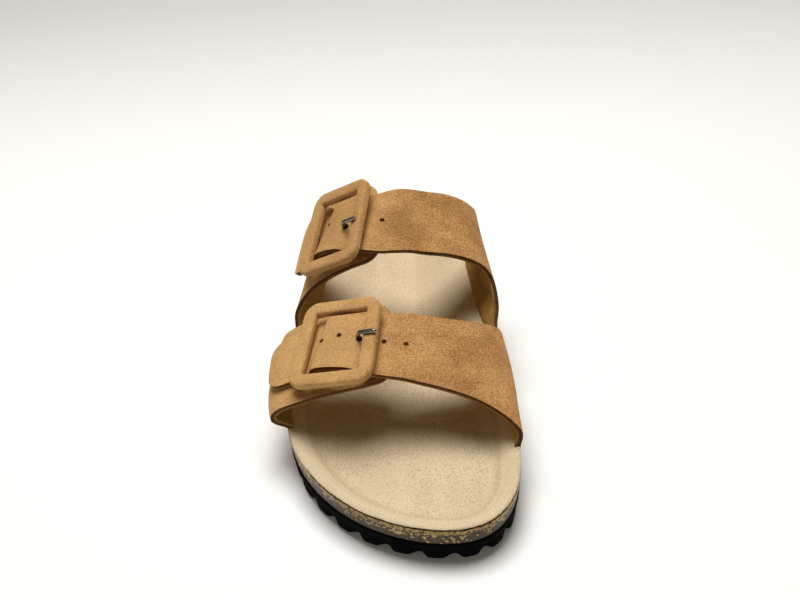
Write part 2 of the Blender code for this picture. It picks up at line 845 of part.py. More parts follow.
class BucklePlace:
    """Where a buckle sits: its middle on the last, its three directions and the height of its seat."""

    def __init__(self, strap, tab, buckle):
        self.strap = strap
        self.buckle = buckle
        self.share = buckle["share"]
        self.station = buckle["station"]
        self.span = girth(self.station)
        self.origin = last_point(self.station, self.share)
        reach = (FRAME_OPENING_ALONG + FRAME_BAR) / 2.0 / self.span
        shares = (self.share - reach, self.share + reach)
        ends = [last_point(station, at) for station, at in zip(buckle["line"], shares)]
        half = FRAME_OPENING_ACROSS / 2.0
        back = last_point(self.station + half, self.share) - last_point(self.station - half, self.share)
        self.medial = (ends[0] - ends[1]) / np.linalg.norm(ends[0] - ends[1])
        self.normal = np.cross(self.medial, back)
        self.normal /= np.linalg.norm(self.normal)
        self.back = np.cross(self.normal, self.medial)
        tip, turn = math.radians(buckle["tip"]), math.radians(buckle["turn"])
        rising = self.medial * math.cos(tip) + self.normal * math.sin(tip)
        self.normal = self.normal * math.cos(tip) - self.medial * math.sin(tip)
        self.medial = rising * math.cos(turn) - self.back * math.sin(turn)
        self.back = np.cross(self.normal, self.medial)
        self.seat = SEAT_GAP + max(self.highest(strap, buckle, reach), self.highest(tab, None, reach))

    def highest(self, table, buckle, reach):
        """Highest point that a strap (with its buckle) or a tab reaches under the frame's bars."""
        half = np.array([FRAME_OPENING_ALONG, FRAME_OPENING_ACROSS]) / 2.0
        inner, outer = (half + FRAME_BAR * band_share for band_share in SEAT_BAND)
        search = reach + FRAME_BAR / self.span
        found = -math.inf
        for share in np.linspace(self.share - search, self.share + search, 41):
            front, rear = (float(along(table, i, np.array(share))) for i in (1, 2))
            for station in np.linspace(front, rear, 9):
                lift = STRAP_THICKNESS + (panel_lift(share, station, buckle) if buckle else 0.0)
                offset = on_last(station, share, lift) - self.origin
                local = np.abs([offset @ self.medial, offset @ self.back])
                if np.all(local < outer) and np.any(local > inner):
                    found = max(found, float(offset @ self.normal))
        return found

    def at(self, along_strap, across, up):
        """A point from distances towards the medial side, the heel and outwards."""
        return self.origin + self.medial * along_strap + self.back * across + self.normal * up


def build_frame(name, place):
    """Covered frame: a rounded rectangle swept with an oval section."""
    bm = bmesh.new()
    half_along = (FRAME_OPENING_ALONG + FRAME_BAR) / 2.0
    half_across = (FRAME_OPENING_ACROSS + FRAME_BAR) / 2.0
    middle = place.seat + FRAME_THICKNESS / 2.0
    path = []
    for corner, (sx, sy) in enumerate(((1, 1), (-1, 1), (-1, -1), (1, -1))):
        centre = (sx * (half_along - FRAME_CORNER), sy * (half_across - FRAME_CORNER))
        for k in range(FRAME_CORNER_STEPS + 1):
            angle = math.pi / 2 * (corner + k / FRAME_CORNER_STEPS)
            path.append((centre, (math.cos(angle), math.sin(angle))))
    turns = 2.0 * math.pi * np.arange(FRAME_SIDES) / FRAME_SIDES
    wide = np.sign(np.cos(turns)) * np.abs(np.cos(turns)) ** FRAME_ROUNDNESS * FRAME_BAR / 2.0
    high = np.sign(np.sin(turns)) * np.abs(np.sin(turns)) ** FRAME_ROUNDNESS * FRAME_THICKNESS / 2.0
    rings = []
    for centre, out in path:
        reach = FRAME_CORNER + wide
        across = centre[1] + out[1] * reach
        narrowed = 1.0 - FRAME_TAPER * across / (half_across + FRAME_BAR / 2.0)
        ring = np.column_stack([(centre[0] + out[0] * reach) * narrowed, across, middle + high])
        rings.append([bm.verts.new(to_world(place.at(*p))) for p in ring])
    for i, ring in enumerate(rings):
        after = rings[(i + 1) % len(rings)]
        band(bm, ring, after)
    orient(bm)
    return add_object(name, bm, "suede", SUEDE)


def prong_path(place):
    """The prong from the pin's bar, up through the strap and over the frame's medial side."""
    low = STRAP_THICKNESS + PIN_LIFT + PIN_BAR_RADIUS
    rest = place.seat + FRAME_THICKNESS + PRONG_RADIUS + GAP
    root, tip, across = place.buckle["prong"]
    climb = [(root + past, low + (rest - low) * share) for past, share in PRONG_CLIMB]
    path = [(0.0, low)] + climb + [(tip, rest)]
    return [place.at(reach, across, up) for reach, up in path]


def build_pin(name, place):
    """Steel pin: the bar that the strap runs over, and the prong that it carries."""
    bm = bmesh.new()
    height = STRAP_THICKNESS + PIN_LIFT + PIN_BAR_RADIUS
    half = FRAME_OPENING_ACROSS / 2.0 - GAP
    toe_end = place.at(0.0, -half, height + place.buckle["pin_rise"])
    tube(bm, [toe_end, place.at(0.0, half, height)], PIN_BAR_RADIUS, 10)
    orient(bm)
    bar = add_object(name, bm, "steel", STEEL)
    bm = bmesh.new()
    tube(bm, prong_path(place), PRONG_RADIUS, 8)
    orient(bm)
    prong = add_object(name + "_prong", bm)
    join = bar.modifiers.new("prong", "BOOLEAN")
    join.operation = "UNION"
    join.object = prong
    return bar


def hole_cutters(name, place):
    """The prong's way through the strap, and the punched holes beside it."""
    bm = bmesh.new()
    tube(bm, prong_path(place), PRONG_RADIUS + PRONG_CLEARANCE, 8)
    orient(bm)
    cutters = [add_object(name + "_prong_way", bm)]
    for k, (to_medial, to_heel) in enumerate(place.buckle["holes"]):
        share = place.share - to_medial / place.span
        station = middle_station(place.strap, share) + to_heel
        clear_of_tab = share < place.buckle["tab_end"]
        foot = on_last(station, share, -HOLE_BELOW if clear_of_tab else STRAP_THICKNESS + GAP / 2.0)
        head = on_last(station, share, HOLE_ABOVE)
        bm = bmesh.new()
        tube(bm, [foot, head], HOLE_RADIUS, 8)
        orient(bm)
        cutters.append(add_object(f"{name}_hole_{k}", bm))
    return cutters


def main():
    """Builds every piece of the sandal."""
    for old in list(bpy.data.objects):
        bpy.data.objects.remove(old)
    build_outsole()
    footbed = build_footbed()
    insole = build_insole()
    medial, _ = build_upper()
    cutters = [
        rebate_cutter("medial_rebate", FRONT_STRAP, REAR_STRAP, 1),
        rebate_cutter("lateral_rebate", FRONT_TAB, REAR_TAB, -1),
    ]
    for piece in (footbed, insole):
        for cutter in cutters:
            cut(piece, cutter)
    fastenings = (
        ("front", FRONT_STRAP, FRONT_TAB, FRONT_BUCKLE),
        ("rear", REAR_STRAP, REAR_TAB, REAR_BUCKLE),
    )
    for label, strap, tab, buckle in fastenings:
        place = BucklePlace(strap, tab, buckle)
        build_frame(label + "_buckle_frame", place)
        build_pin(label + "_buckle_pin", place)
        for cutter in hole_cutters(label, place):
            cut(medial, cutter)


main()
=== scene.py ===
"""Looks of a right-foot sandal with two buckled suede straps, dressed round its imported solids.

Lengths in the tables are millimetres. Station is the distance from the toe tip towards the heel, X points
to the medial side, Y from the toe to the heel and Z up, with the lugs standing on Z = 0.
"""

import logging
import math
from dataclasses import dataclass, field
from enum import Enum
from typing import Callable, Sequence

import bpy
import numpy as np
from mathutils import Matrix, Vector


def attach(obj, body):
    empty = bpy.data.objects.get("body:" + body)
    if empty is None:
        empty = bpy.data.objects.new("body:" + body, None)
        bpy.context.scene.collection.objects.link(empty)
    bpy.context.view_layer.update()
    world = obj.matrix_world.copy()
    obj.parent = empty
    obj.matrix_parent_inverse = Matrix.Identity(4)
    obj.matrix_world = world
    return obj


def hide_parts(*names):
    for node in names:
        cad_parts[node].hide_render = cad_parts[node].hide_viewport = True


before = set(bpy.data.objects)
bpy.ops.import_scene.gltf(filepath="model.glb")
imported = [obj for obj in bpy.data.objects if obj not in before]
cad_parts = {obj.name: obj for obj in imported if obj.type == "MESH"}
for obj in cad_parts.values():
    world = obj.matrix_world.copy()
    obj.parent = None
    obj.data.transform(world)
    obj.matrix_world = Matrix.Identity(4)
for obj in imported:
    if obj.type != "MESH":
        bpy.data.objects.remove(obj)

Array = np.ndarray
Pair = tuple[float, float]
Point = tuple[float, float, float]
Colour = tuple[float, float, float]
Rows = tuple[tuple[float, ...], ...]
Piece = bpy.types.Object
Finish = bpy.types.Material
Socket = bpy.types.NodeSocket
Layer = Callable[[Array, Array], Array]
Line = Callable[[Array], Array]

LOG = logging.getLogger("sandal")
MM = 0.001
BODY = "root"
SOLE_LENGTH = 260.0
SIDE_SHIFT = 6.4
STRAP_THICKNESS = 2.6
TUCK = 5.0
LAYER_GAP = 0.5
SEAT_GAP = 0.8


class Side(Enum):
    """The two sides of the foot, as signs of X."""

    LATERAL = -1
    MEDIAL = 1

    @property
    def rim(self) -> float:
        """Share of the way round the foot at this side's rim."""
        return 0.0 if self is Side.MEDIAL else 1.0


class Axis(Enum):
    """The part's axes on the ground, as places in a point."""

    ACROSS = 0
    ALONG = 1


class Sum(Enum):
    """Ways to put two numbers of a finish together."""

    PLUS = "ADD"
    TIMES = "MULTIPLY"


def smooth_step(value: Array, low: float, high: float) -> Array:
    """A step with level ends.

    Args:
        value: Where to read the step.
        low: Where it leaves 0.
        high: Where it reaches 1.

    Returns:
        Shares between 0 and 1.
    """
    share = np.clip((np.asarray(value, float) - low) / (high - low), 0.0, 1.0)
    return share * share * (3.0 - 2.0 * share)


def bump(value: Array, half_width: float) -> Array:
    """A soft ridge: 1 at 0, falling to about 0.02 at two half widths."""
    return np.exp(-np.square(np.asarray(value, float) / half_width))


def to_world(points: Array) -> Array:
    """The tables' points in the part's frame.

    Args:
        points: Points in millimetres.

    Returns:
        The same points in metres.
    """
    moved = np.array(points, float)
    moved[..., 0] += SIDE_SHIFT
    moved[..., 1] -= SOLE_LENGTH / 2.0
    return moved * MM


@dataclass
class Curve:
    """A cubic through knots with given slopes."""

    knots: Array
    values: Array
    slopes: Array

    @classmethod
    def through(cls, rows: Rows, column: int) -> "Curve":
        """A curve through one column of a table, which never swings past its rows.

        Args:
            rows: The table, whose first column holds the knots.
            column: Which column to follow.

        Returns:
            The curve.
        """
        knots = np.array([row[0] for row in rows], float)
        values = np.array([row[column] for row in rows], float)
        rises = np.diff(values) / np.diff(knots)
        before, after = rises[:-1], rises[1:]
        same_way = before * after > 0.0
        total = np.where(same_way, before + after, 1.0)
        inner = np.where(same_way, 2.0 * before * after / total, 0.0)
        return cls(knots, values, np.concatenate([rises[:1], inner, rises[-1:]]))

    @classmethod
    def closed(cls, knots: Array, values: Array) -> "Curve":
        """The smoothest closed curve, whose last knot repeats the first.

        Args:
            knots: Rising places.
            values: Values there.

        Returns:
            The curve.
        """
        steps = np.diff(knots)
        rises = np.diff(values) / steps
        count = len(steps)
        matrix = np.zeros((count, count))
        for i in range(count):
            matrix[i, i - 1] += steps[i]
            matrix[i, i] += 2.0 * (steps[i - 1] + steps[i])
            matrix[i, (i + 1) % count] += steps[i - 1]
        right = 3.0 * (steps * np.roll(rises, 1) + np.roll(steps, 1) * rises)
        slopes = np.linalg.solve(matrix, right)
        return cls(knots, values, np.append(slopes, slopes[0]))

    def at(self, x: Array) -> Array:
        """Reads the curve, which is held level past its ends.

        Args:
            x: Where to read it.

        Returns:
            Its values there.
        """
        x = np.clip(np.asarray(x, float), self.knots[0], self.knots[-1])
        i = np.clip(np.searchsorted(self.knots, x, side="right") - 1, 0, len(self.knots) - 2)
        step = self.knots[i + 1] - self.knots[i]
        t = (x - self.knots[i]) / step
        start = (1 + 2 * t) * (1 - t) ** 2 * self.values[i] + t * (1 - t) ** 2 * step * self.slopes[i]
        end = t * t * (3 - 2 * t) * self.values[i + 1] + t * t * (t - 1) * step * self.slopes[i + 1]
        return start + end


class Bench:
    """The modelling steps that the pieces share."""

    @staticmethod
    def alone(piece: Piece) -> None:
        """Makes a piece the only selected one, and the active one.

        Args:
            piece: The piece.
        """
        bpy.ops.object.select_all(action="DESELECT")
        piece.select_set(True)
        bpy.context.view_layer.objects.active = piece

    @staticmethod
    def sheet(name: str, columns: int, rows: int, layer: Layer) -> Piece:
        """A flat blank, cut into a grid and laid in place.

        Args:
            name: Name of the piece.
            columns: Faces across the blank.
            rows: Faces along it.
            layer: Points of the tables' frame, from column and row numbers.

        Returns:
            The laid piece.
        """
        bpy.ops.object.select_all(action="DESELECT")
        bpy.ops.mesh.primitive_grid_add(x_subdivisions=columns, y_subdivisions=rows, size=1.0)
        piece = bpy.context.active_object
        piece.name = piece.data.name = name
        flat = np.zeros(len(piece.data.vertices) * 3)
        piece.data.vertices.foreach_get("co", flat)
        flat = flat.reshape(-1, 3)
        across = np.rint((flat[:, 0] + 0.5) * columns).astype(int)
        along = np.rint((flat[:, 1] + 0.5) * rows).astype(int)
        piece.data.vertices.foreach_set("co", to_world(layer(across, along)).ravel())
        piece.data.update()
        return piece

    @staticmethod
    def join(name: str, pieces: Sequence[Piece]) -> Piece:
        """Several pieces as one.

        Args:
            name: Name of the joined piece.
            pieces: What to join.

        Returns:
            The joined piece.
        """
        Bench.alone(pieces[0])
        for piece in pieces[1:]:
            piece.select_set(True)
        bpy.ops.object.join()
        pieces[0].name = pieces[0].data.name = name
        return pieces[0]

    @staticmethod
    def weld(piece: Piece, distance: float, outwards: bool = True) -> None:
        """Merges points that meet, and turns the faces one way.

        Args:
            piece: The piece.
            distance: Merge distance in millimetres.
            outwards: Whether a closed piece's faces are turned out as well.
        """
        Bench.alone(piece)
        bpy.ops.object.mode_set(mode="EDIT")
        bpy.ops.mesh.select_all(action="SELECT")
        bpy.ops.mesh.remove_doubles(threshold=distance * MM)
        bpy.ops.mesh.dissolve_degenerate(threshold=distance * MM)
        if outwards:
            bpy.ops.mesh.normals_make_consistent(inside=False)
        bpy.ops.object.mode_set(mode="OBJECT")

    @staticmethod
    def face(piece: Piece, inner: Vector) -> None:
        """Turns a sheet's faces so that most of them look away from a point inside.

        Args:
            piece: An open sheet.
            inner: A point on the inner side.
        """
        Bench.alone(piece)
        bpy.ops.object.mode_set(mode="EDIT")
        bpy.ops.mesh.select_all(action="SELECT")
        bpy.ops.mesh.normals_make_consistent(inside=False)
        bpy.ops.object.mode_set(mode="OBJECT")
        votes = sum(p.area * p.normal.dot(p.center - inner) for p in piece.data.polygons)
        if votes < 0.0:
            bpy.ops.object.mode_set(mode="EDIT")
            bpy.ops.mesh.flip_normals()
            bpy.ops.object.mode_set(mode="OBJECT")

    @staticmethod
    def modify(piece: Piece, kind: str, **values: object) -> None:
        """Adds a modifier with these values and applies it.

        Args:
            piece: The piece.
            kind: Blender's name of the modifier.
            **values: The modifier's settings.
        """
        Bench.alone(piece)
        modifier = piece.modifiers.new(kind.lower(), kind)
        for name, value in values.items():
            setattr(modifier, name, value)
        bpy.ops.object.modifier_apply(modifier=modifier.name)

    @staticmethod
    def points(piece: Piece) -> Array:
        """Points of a laid piece, back in the tables' frame."""
        points = np.array([vertex.co for vertex in piece.data.vertices], float) / MM
        return points + np.array([-SIDE_SHIFT, SOLE_LENGTH / 2.0, 0.0])

    @staticmethod
    def mark(piece: Piece, name: str, values: Array) -> None:
        """Stores a number on each point of a piece, for its finish to read."""
        attribute = piece.data.attributes.new(name, "FLOAT", "POINT")
        attribute.data.foreach_set("value", values.astype(np.float32))

    @staticmethod
    def finish(piece: Piece, node: str, slot: str, angle: float = 40.0) -> None:
        """Shades a piece and puts it in a solid's place.

        Args:
            piece: The finished piece.
            node: The solid that it stands for.
            slot: The record's material slot; not used.
            angle: Edges sharper than this many degrees stay crisp.
        """
        Bench.alone(piece)
        bpy.ops.object.shade_smooth_by_angle(angle=math.radians(angle))
        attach(piece, BODY)
        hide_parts(node)
        LOG.info("%s: %d faces", piece.name, len(piece.data.polygons))


class Graph:
    """A material's node tree, with short calls for the nodes that the finishes share."""

    def __init__(self, name: str) -> None:
        """Starts an empty finish.

        Args:
            name: Name of the material.
        """
        self.material = bpy.data.materials.new(name)
        self.material.use_nodes = True
        self.nodes = self.material.node_tree.nodes
        self.links = self.material.node_tree.links
        self.shader = self.nodes["Principled BSDF"]
        self.place = self.nodes.new("ShaderNodeTexCoord").outputs["Object"]

    def feed(self, target: Socket, value: Socket | float | tuple) -> None:
        """Links a socket to another, or sets its value.

        Args:
            target: The input to feed.
            value: An output to link, or a constant.
        """
        if isinstance(value, Socket):
            self.links.new(value, target)
        else:
            target.default_value = value

    def constants(self, **values: float | tuple) -> None:
        """Sets the shader's own sockets, named with underscores for spaces."""
        for name, value in values.items():
            self.shader.inputs[name.replace("_", " ")].default_value = value

    def attribute(self, name: str) -> Socket:
        """A number stored on the piece's points.

        Args:
            name: Name of the attribute.

        Returns:
            The number.
        """
        node = self.nodes.new("ShaderNodeAttribute")
        node.attribute_name = name
        return node.outputs["Fac"]

    def axis(self, axis: Axis) -> Socket:
        """One of the piece's own coordinates.

        Args:
            axis: Which one.

        Returns:
            The coordinate in metres.
        """
        node = self.nodes.new("ShaderNodeSeparateXYZ")
        self.links.new(self.place, node.inputs[0])
        return node.outputs[axis.value]

    def near(self, point: Point, radius: float) -> Socket:
        """A share that fades with the distance from a point.

        Args:
            point: Where the share is 1, in millimetres.
            radius: How far off it reaches 0.

        Returns:
            The share.
        """
        node = self.nodes.new("ShaderNodeVectorMath")
        node.operation = "DISTANCE"
        self.links.new(self.place, node.inputs[0])
        node.inputs[1].default_value = Vector(point) * MM
        return self.step(node.outputs["Value"], radius * MM, 0.0)

    def stretched(self, scale: Point) -> Socket:
        """The piece's own coordinates, scaled by axis.

        Args:
            scale: Factors along the three axes.

        Returns:
            The scaled coordinates.
        """
        node = self.nodes.new("ShaderNodeMapping")
        self.links.new(self.place, node.inputs["Vector"])
        node.inputs["Scale"].default_value = scale
        return node.outputs["Vector"]

    def noise(self, scale: float, detail: float = 2.0, where: Socket | None = None) -> Socket:
        """Cloudy noise.

        Args:
            scale: Features per metre.
            detail: Octaves of finer noise.
            where: Coordinates, or the piece's own.

        Returns:
            The noise's value.
        """
        node = self.nodes.new("ShaderNodeTexNoise")
        self.links.new(where or self.place, node.inputs["Vector"])
        node.inputs["Scale"].default_value = scale
        node.inputs["Detail"].default_value = detail
        node.inputs["Roughness"].default_value = 0.6
        return node.outputs["Fac"]

    def grains(self, scale: float) -> tuple[Socket, Socket]:
        """Cells of random grey.

        Args:
            scale: Cells per metre.

        Returns:
            A random number for each cell, and the distance from its middle.
        """
        node = self.nodes.new("ShaderNodeTexVoronoi")
        self.links.new(self.place, node.inputs["Vector"])
        node.inputs["Scale"].default_value = scale
        parted = self.nodes.new("ShaderNodeSeparateColor")
        self.links.new(node.outputs["Color"], parted.inputs["Color"])
        return parted.outputs["Red"], node.outputs["Distance"]

    def ramp(self, value: Socket, stops: Sequence[tuple[float, Colour]]) -> Socket:
        """Colours along a value.

        Args:
            value: What drives the ramp.
            stops: Places and colours.

        Returns:
            The colour.
        """
        node = self.nodes.new("ShaderNodeValToRGB")
        self.links.new(value, node.inputs["Fac"])
        elements = node.color_ramp.elements
        while len(elements) < len(stops):
            elements.new(0.5)
        for element, (place, colour) in zip(elements, stops):
            element.position = place
            element.color = (*colour, 1.0)
        return node.outputs["Color"]

    def step(self, value: Socket, low: float, high: float) -> Socket:
        """A value's way between two others, as a smooth share.

        Args:
            value: What is measured.
            low: Where the share is 0.
            high: Where it is 1.

        Returns:
            The share.
        """
        node = self.nodes.new("ShaderNodeMapRange")
        node.interpolation_type = "SMOOTHSTEP"
        self.links.new(value, node.inputs["Value"])
        node.inputs["From Min"].default_value = low
        node.inputs["From Max"].default_value = high
        return node.outputs["Result"]

    def blend(self, share: Socket | float, low: Socket | Colour, high: Socket | Colour) -> Socket:
        """Two colours mixed.

        Args:
            share: How much of the second there is.
            low: The first colour.
            high: The second colour.

        Returns:
            The mixed colour.
        """
        node = self.nodes.new("ShaderNodeMix")
        node.data_type = "RGBA"
        self.feed(node.inputs[0], share)
        for target, value in ((node.inputs[6], low), (node.inputs[7], high)):
            self.feed(target, (*value, 1.0) if isinstance(value, tuple) else value)
        return node.outputs[2]

    def lay(self, colour: Socket, over: Colour, share: Socket, strength: float) -> Socket:
        """A colour with another laid over it, by a share of a strength."""
        return self.blend(self.sums(Sum.TIMES, share, strength), colour, over)

    def weigh(self, *parts: tuple[Socket, float]) -> Socket:
        """Several numbers added up, each with its weight.

        Args:
            *parts: Numbers and weights.

        Returns:
            The sum.
        """
        total, *others = [self.sums(Sum.TIMES, number, weight) for number, weight in parts]
        for other in others:
            total = self.sums(Sum.PLUS, total, other)
        return total

    def sums(self, how: Sum, first: Socket | float, second: Socket | float) -> Socket:
        """Two numbers put together.

        Args:
            how: The way.
            first: One number.
            second: The other.

        Returns:
            The result.
        """
        node = self.nodes.new("ShaderNodeMath")
        node.operation = how.value
        self.feed(node.inputs[0], first)
        self.feed(node.inputs[1], second)
        return node.outputs[0]

    def relief(self, height: Socket, depth: float, under: Socket | None = None) -> Socket:
        """Bumps from a height.

        Args:
            height: The height, from 0 to 1.
            depth: Millimetres from 0 to 1.
            under: Normal of the relief below it.

        Returns:
            The bumped normal.
        """
        node = self.nodes.new("ShaderNodeBump")
        node.inputs["Strength"].default_value = 1.0
        node.inputs["Distance"].default_value = depth * MM
        self.links.new(height, node.inputs["Height"])
        if under is not None:
            self.links.new(under, node.inputs["Normal"])
        return node.outputs["Normal"]

    def close(self, colour: Socket, normal: Socket) -> Finish:
        """Wires colour and relief into the shader.

        Args:
            colour: The base colour.
            normal: Normal of the relief.

        Returns:
            The finished material.
        """
        self.links.new(colour, self.shader.inputs["Base Color"])
        self.links.new(normal, self.shader.inputs["Normal"])
        return self.material


@dataclass(frozen=True)
class Suede:
    """Brushed leather: cloudy where the nap lies another way; painted light and rubbed nap pale its lateral
    side.
    """

    name: str
    dark: Colour
    middle: Colour
    light: Colour
    lit_and_rubbed: Colour
    lit_rub_from: float = 14.0
    lit_rub_to: float = -30.0
    shade_and_dark_patches: tuple[tuple[Point, float, float], ...] = ()
    rub: float = 0.5
    pore: float = 0.42
    cloud: float = 62.0
    grain: float = 1500.0
    relief: float = 0.25

    def make(self) -> Finish:
        """Mixes the finish.

        Returns:
            The material.
        """
        graph = Graph(self.name)
        cloud = graph.noise(self.cloud, 4.0)
        brushed = graph.noise(self.cloud * 3.0, 3.0, graph.stretched((0.35, 1.0, 1.0)))
        grain = graph.noise(self.grain, 3.0)
        fleck = graph.noise(self.grain * 0.4, 2.0)
        mix = graph.weigh((cloud, 0.46), (brushed, 0.22), (graph.step(grain, 0.3, 0.7), 0.32))
        colour = graph.ramp(mix, ((0.34, self.dark), (0.5, self.middle), (0.66, self.light)))
        # Paler towards the lateral side: partly painted light on the lateral slopes, partly rubbed nap.
        lit_and_rubbed = graph.step(graph.axis(Axis.ACROSS), self.lit_rub_from * MM, self.lit_rub_to * MM)
        colour = graph.lay(colour, self.lit_and_rubbed, lit_and_rubbed, self.rub)
        pores = graph.step(graph.noise(self.grain * 0.62, 2.0), 0.46, 0.3)
        colour = graph.lay(colour, self.dark, pores, self.pore)
        # Darker patches round given points: painted shade on the front strap's medial side and beside the
        # rear frame, and a darker patch on the rear panel.
        for point, radius, depth in self.shade_and_dark_patches:
            colour = graph.lay(colour, self.dark, graph.near(point, radius), depth)
        normal = graph.relief(fleck, self.relief * 1.6)
        normal = graph.relief(grain, self.relief, normal)
        graph.constants(Roughness=0.95, Specular_IOR_Level=0.15, Sheen_Weight=0.25, Sheen_Roughness=0.45)
        graph.constants(Sheen_Tint=(*self.light, 1.0))
        return graph.close(colour, normal)


@dataclass(frozen=True)
class RawEdge:
    """The cut edge of the leather: stained fibres, lighter where they are worn."""

    name: str
    dark: Colour
    light: Colour

    def make(self) -> Finish:
        """Mixes the finish.

        Returns:
            The material.
        """
        graph = Graph(self.name)
        fibre = graph.noise(1900.0, 3.0)
        rub = graph.noise(160.0, 3.0)
        colour = graph.ramp(graph.weigh((fibre, 0.7), (rub, 0.3)), ((0.4, self.dark), (0.64, self.light)))
        graph.constants(Roughness=0.9, Specular_IOR_Level=0.2)
        return graph.close(colour, graph.relief(fibre, 0.3))


@dataclass(frozen=True)
class FootbedLining:
    """Fine undyed suede with dark flecks of the split hide."""

    name: str = "footbed_lining"
    shade: Colour = (0.62, 0.485, 0.315)
    light: Colour = (0.77, 0.625, 0.42)
    fleck: Colour = (0.29, 0.20, 0.11)
    # Colour of the painted highlight on the toe ridges.
    worn: Colour = (0.86, 0.73, 0.53)
    rim_highlight: float = 0.4
    rim_shade_strength: float = 0.2
    bar_highlight: float = 0.5

    def make(self) -> Finish:
        """Mixes the finish.

        Returns:
            The material.
        """
        graph = Graph(self.name)
        cloud = graph.noise(30.0, 4.0)
        streak = graph.noise(95.0, 3.0, graph.stretched((1.0, 0.16, 1.0)))
        grain = graph.noise(1500.0, 3.0)
        mix = graph.weigh((cloud, 0.4), (grain, 0.4), (streak, 0.2))
        colour = graph.ramp(mix, ((0.38, self.shade), (0.6, self.light)))
        flecks = graph.step(graph.noise(1700.0, 2.0), 0.5, 0.72)
        patches = graph.step(graph.noise(60.0, 3.0), 0.1, 0.6)
        colour = graph.lay(colour, self.fleck, graph.sums(Sum.TIMES, flecks, patches), 0.9)
        # Painted light: the raised toe rim is drawn lighter.
        colour = graph.lay(colour, self.light, graph.attribute("rim_light"), self.rim_highlight)
        # Painted shade along the foot of the toe rim.
        colour = graph.lay(colour, self.fleck, graph.attribute("rim_shade"), self.rim_shade_strength)
        # Painted highlight along the toe ridges.
        colour = graph.lay(colour, self.worn, graph.attribute("bar_light"), self.bar_highlight)
        graph.constants(Roughness=0.93, Specular_IOR_Level=0.15, Sheen_Weight=0.12)
        return graph.close(colour, graph.relief(grain, 0.1))


@dataclass(frozen=True)
class Cork:
    """Pressed cork granules under a sealer, raw along the upper edge where they were sanded."""

    name: str = "sealed_cork"
    ground: Colour = (0.032, 0.017, 0.0035)
    grey: Colour = (0.072, 0.041, 0.0105)
    tan: Colour = (0.52, 0.35, 0.13)
    raw: Colour = (0.40, 0.25, 0.075)
    raw_dark: Colour = (0.06, 0.026, 0.006)
    raw_height: float = 2.0
    raw_fade: float = 0.9

    def make(self) -> Finish:
        """Mixes the finish.

        Returns:
            The material.
        """
        graph = Graph(self.name)
        chunk, chunk_edge = graph.grains(620.0)
        crumb, crumb_edge = graph.grains(1150.0)
        fine = graph.noise(1300.0, 3.0)
        sealed = graph.ramp(fine, ((0.35, self.ground), (0.65, self.grey)))
        near_rim = graph.sums(Sum.TIMES, graph.step(graph.attribute("rim_depth"), 6.0, 1.0), 0.1)
        for cells, low, high in ((chunk, 0.96, 0.985), (crumb, 0.93, 0.97)):
            pale = graph.step(graph.sums(Sum.PLUS, cells, near_rim), low, high)
            sealed = graph.blend(pale, sealed, self.tan)
        rough = graph.ramp(crumb, ((0.15, self.raw_dark), (0.45, self.raw), (0.9, self.tan)))
        depth = graph.sums(Sum.PLUS, graph.attribute("rim_depth"), graph.sums(Sum.TIMES, crumb, 1.4))
        share = graph.step(depth, self.raw_height + self.raw_fade, self.raw_height)
        colour = graph.blend(share, sealed, rough)
        graph.constants(Roughness=0.5, Specular_IOR_Level=0.22, Coat_Weight=0.25, Coat_Roughness=0.3)
        normal = graph.relief(chunk_edge, 0.12)
        return graph.close(colour, graph.relief(crumb_edge, 0.2, normal))


@dataclass(frozen=True)
class Foam:
    """Black moulded foam, matt and slightly pebbled."""

    name: str = "black_foam"
    dark: Colour = (0.0012, 0.0012, 0.0011)
    worn: Colour = (0.0026, 0.0026, 0.0024)

    def make(self) -> Finish:
        """Mixes the finish.

        Returns:
            The material.
        """
        graph = Graph(self.name)
        pebble = graph.noise(700.0, 3.0)
        cloud = graph.noise(40.0, 3.0)
        colour = graph.ramp(cloud, ((0.35, self.dark), (0.7, self.worn)))
        graph.constants(Roughness=0.9, Specular_IOR_Level=0.04)
        return graph.close(colour, graph.relief(pebble, 0.12))


@dataclass(frozen=True)
class Gunmetal:
    """Dark plated steel with fine drawing lines."""

    name: str = "gunmetal"
    dark: Colour = (0.10, 0.095, 0.09)
    bright: Colour = (0.42, 0.40, 0.37)
    hole_shade: Colour = (0.012, 0.010, 0.008)

    def make(self) -> Finish:
        """Mixes the finish.

        Returns:
            The material.
        """
        graph = Graph(self.name)
        lines = graph.noise(500.0, 3.0, graph.stretched((0.2, 1.0, 1.0)))
        colour = graph.ramp(lines, ((0.3, self.dark), (0.75, self.bright)))
        # Painted shade: the pin goes near black low down, in its hole and under the frame.
        colour = graph.blend(graph.attribute("unshaded"), self.hole_shade, colour)
        graph.constants(Metallic=1.0, Roughness=0.28)
        return graph.close(colour, graph.relief(lines, 0.02))


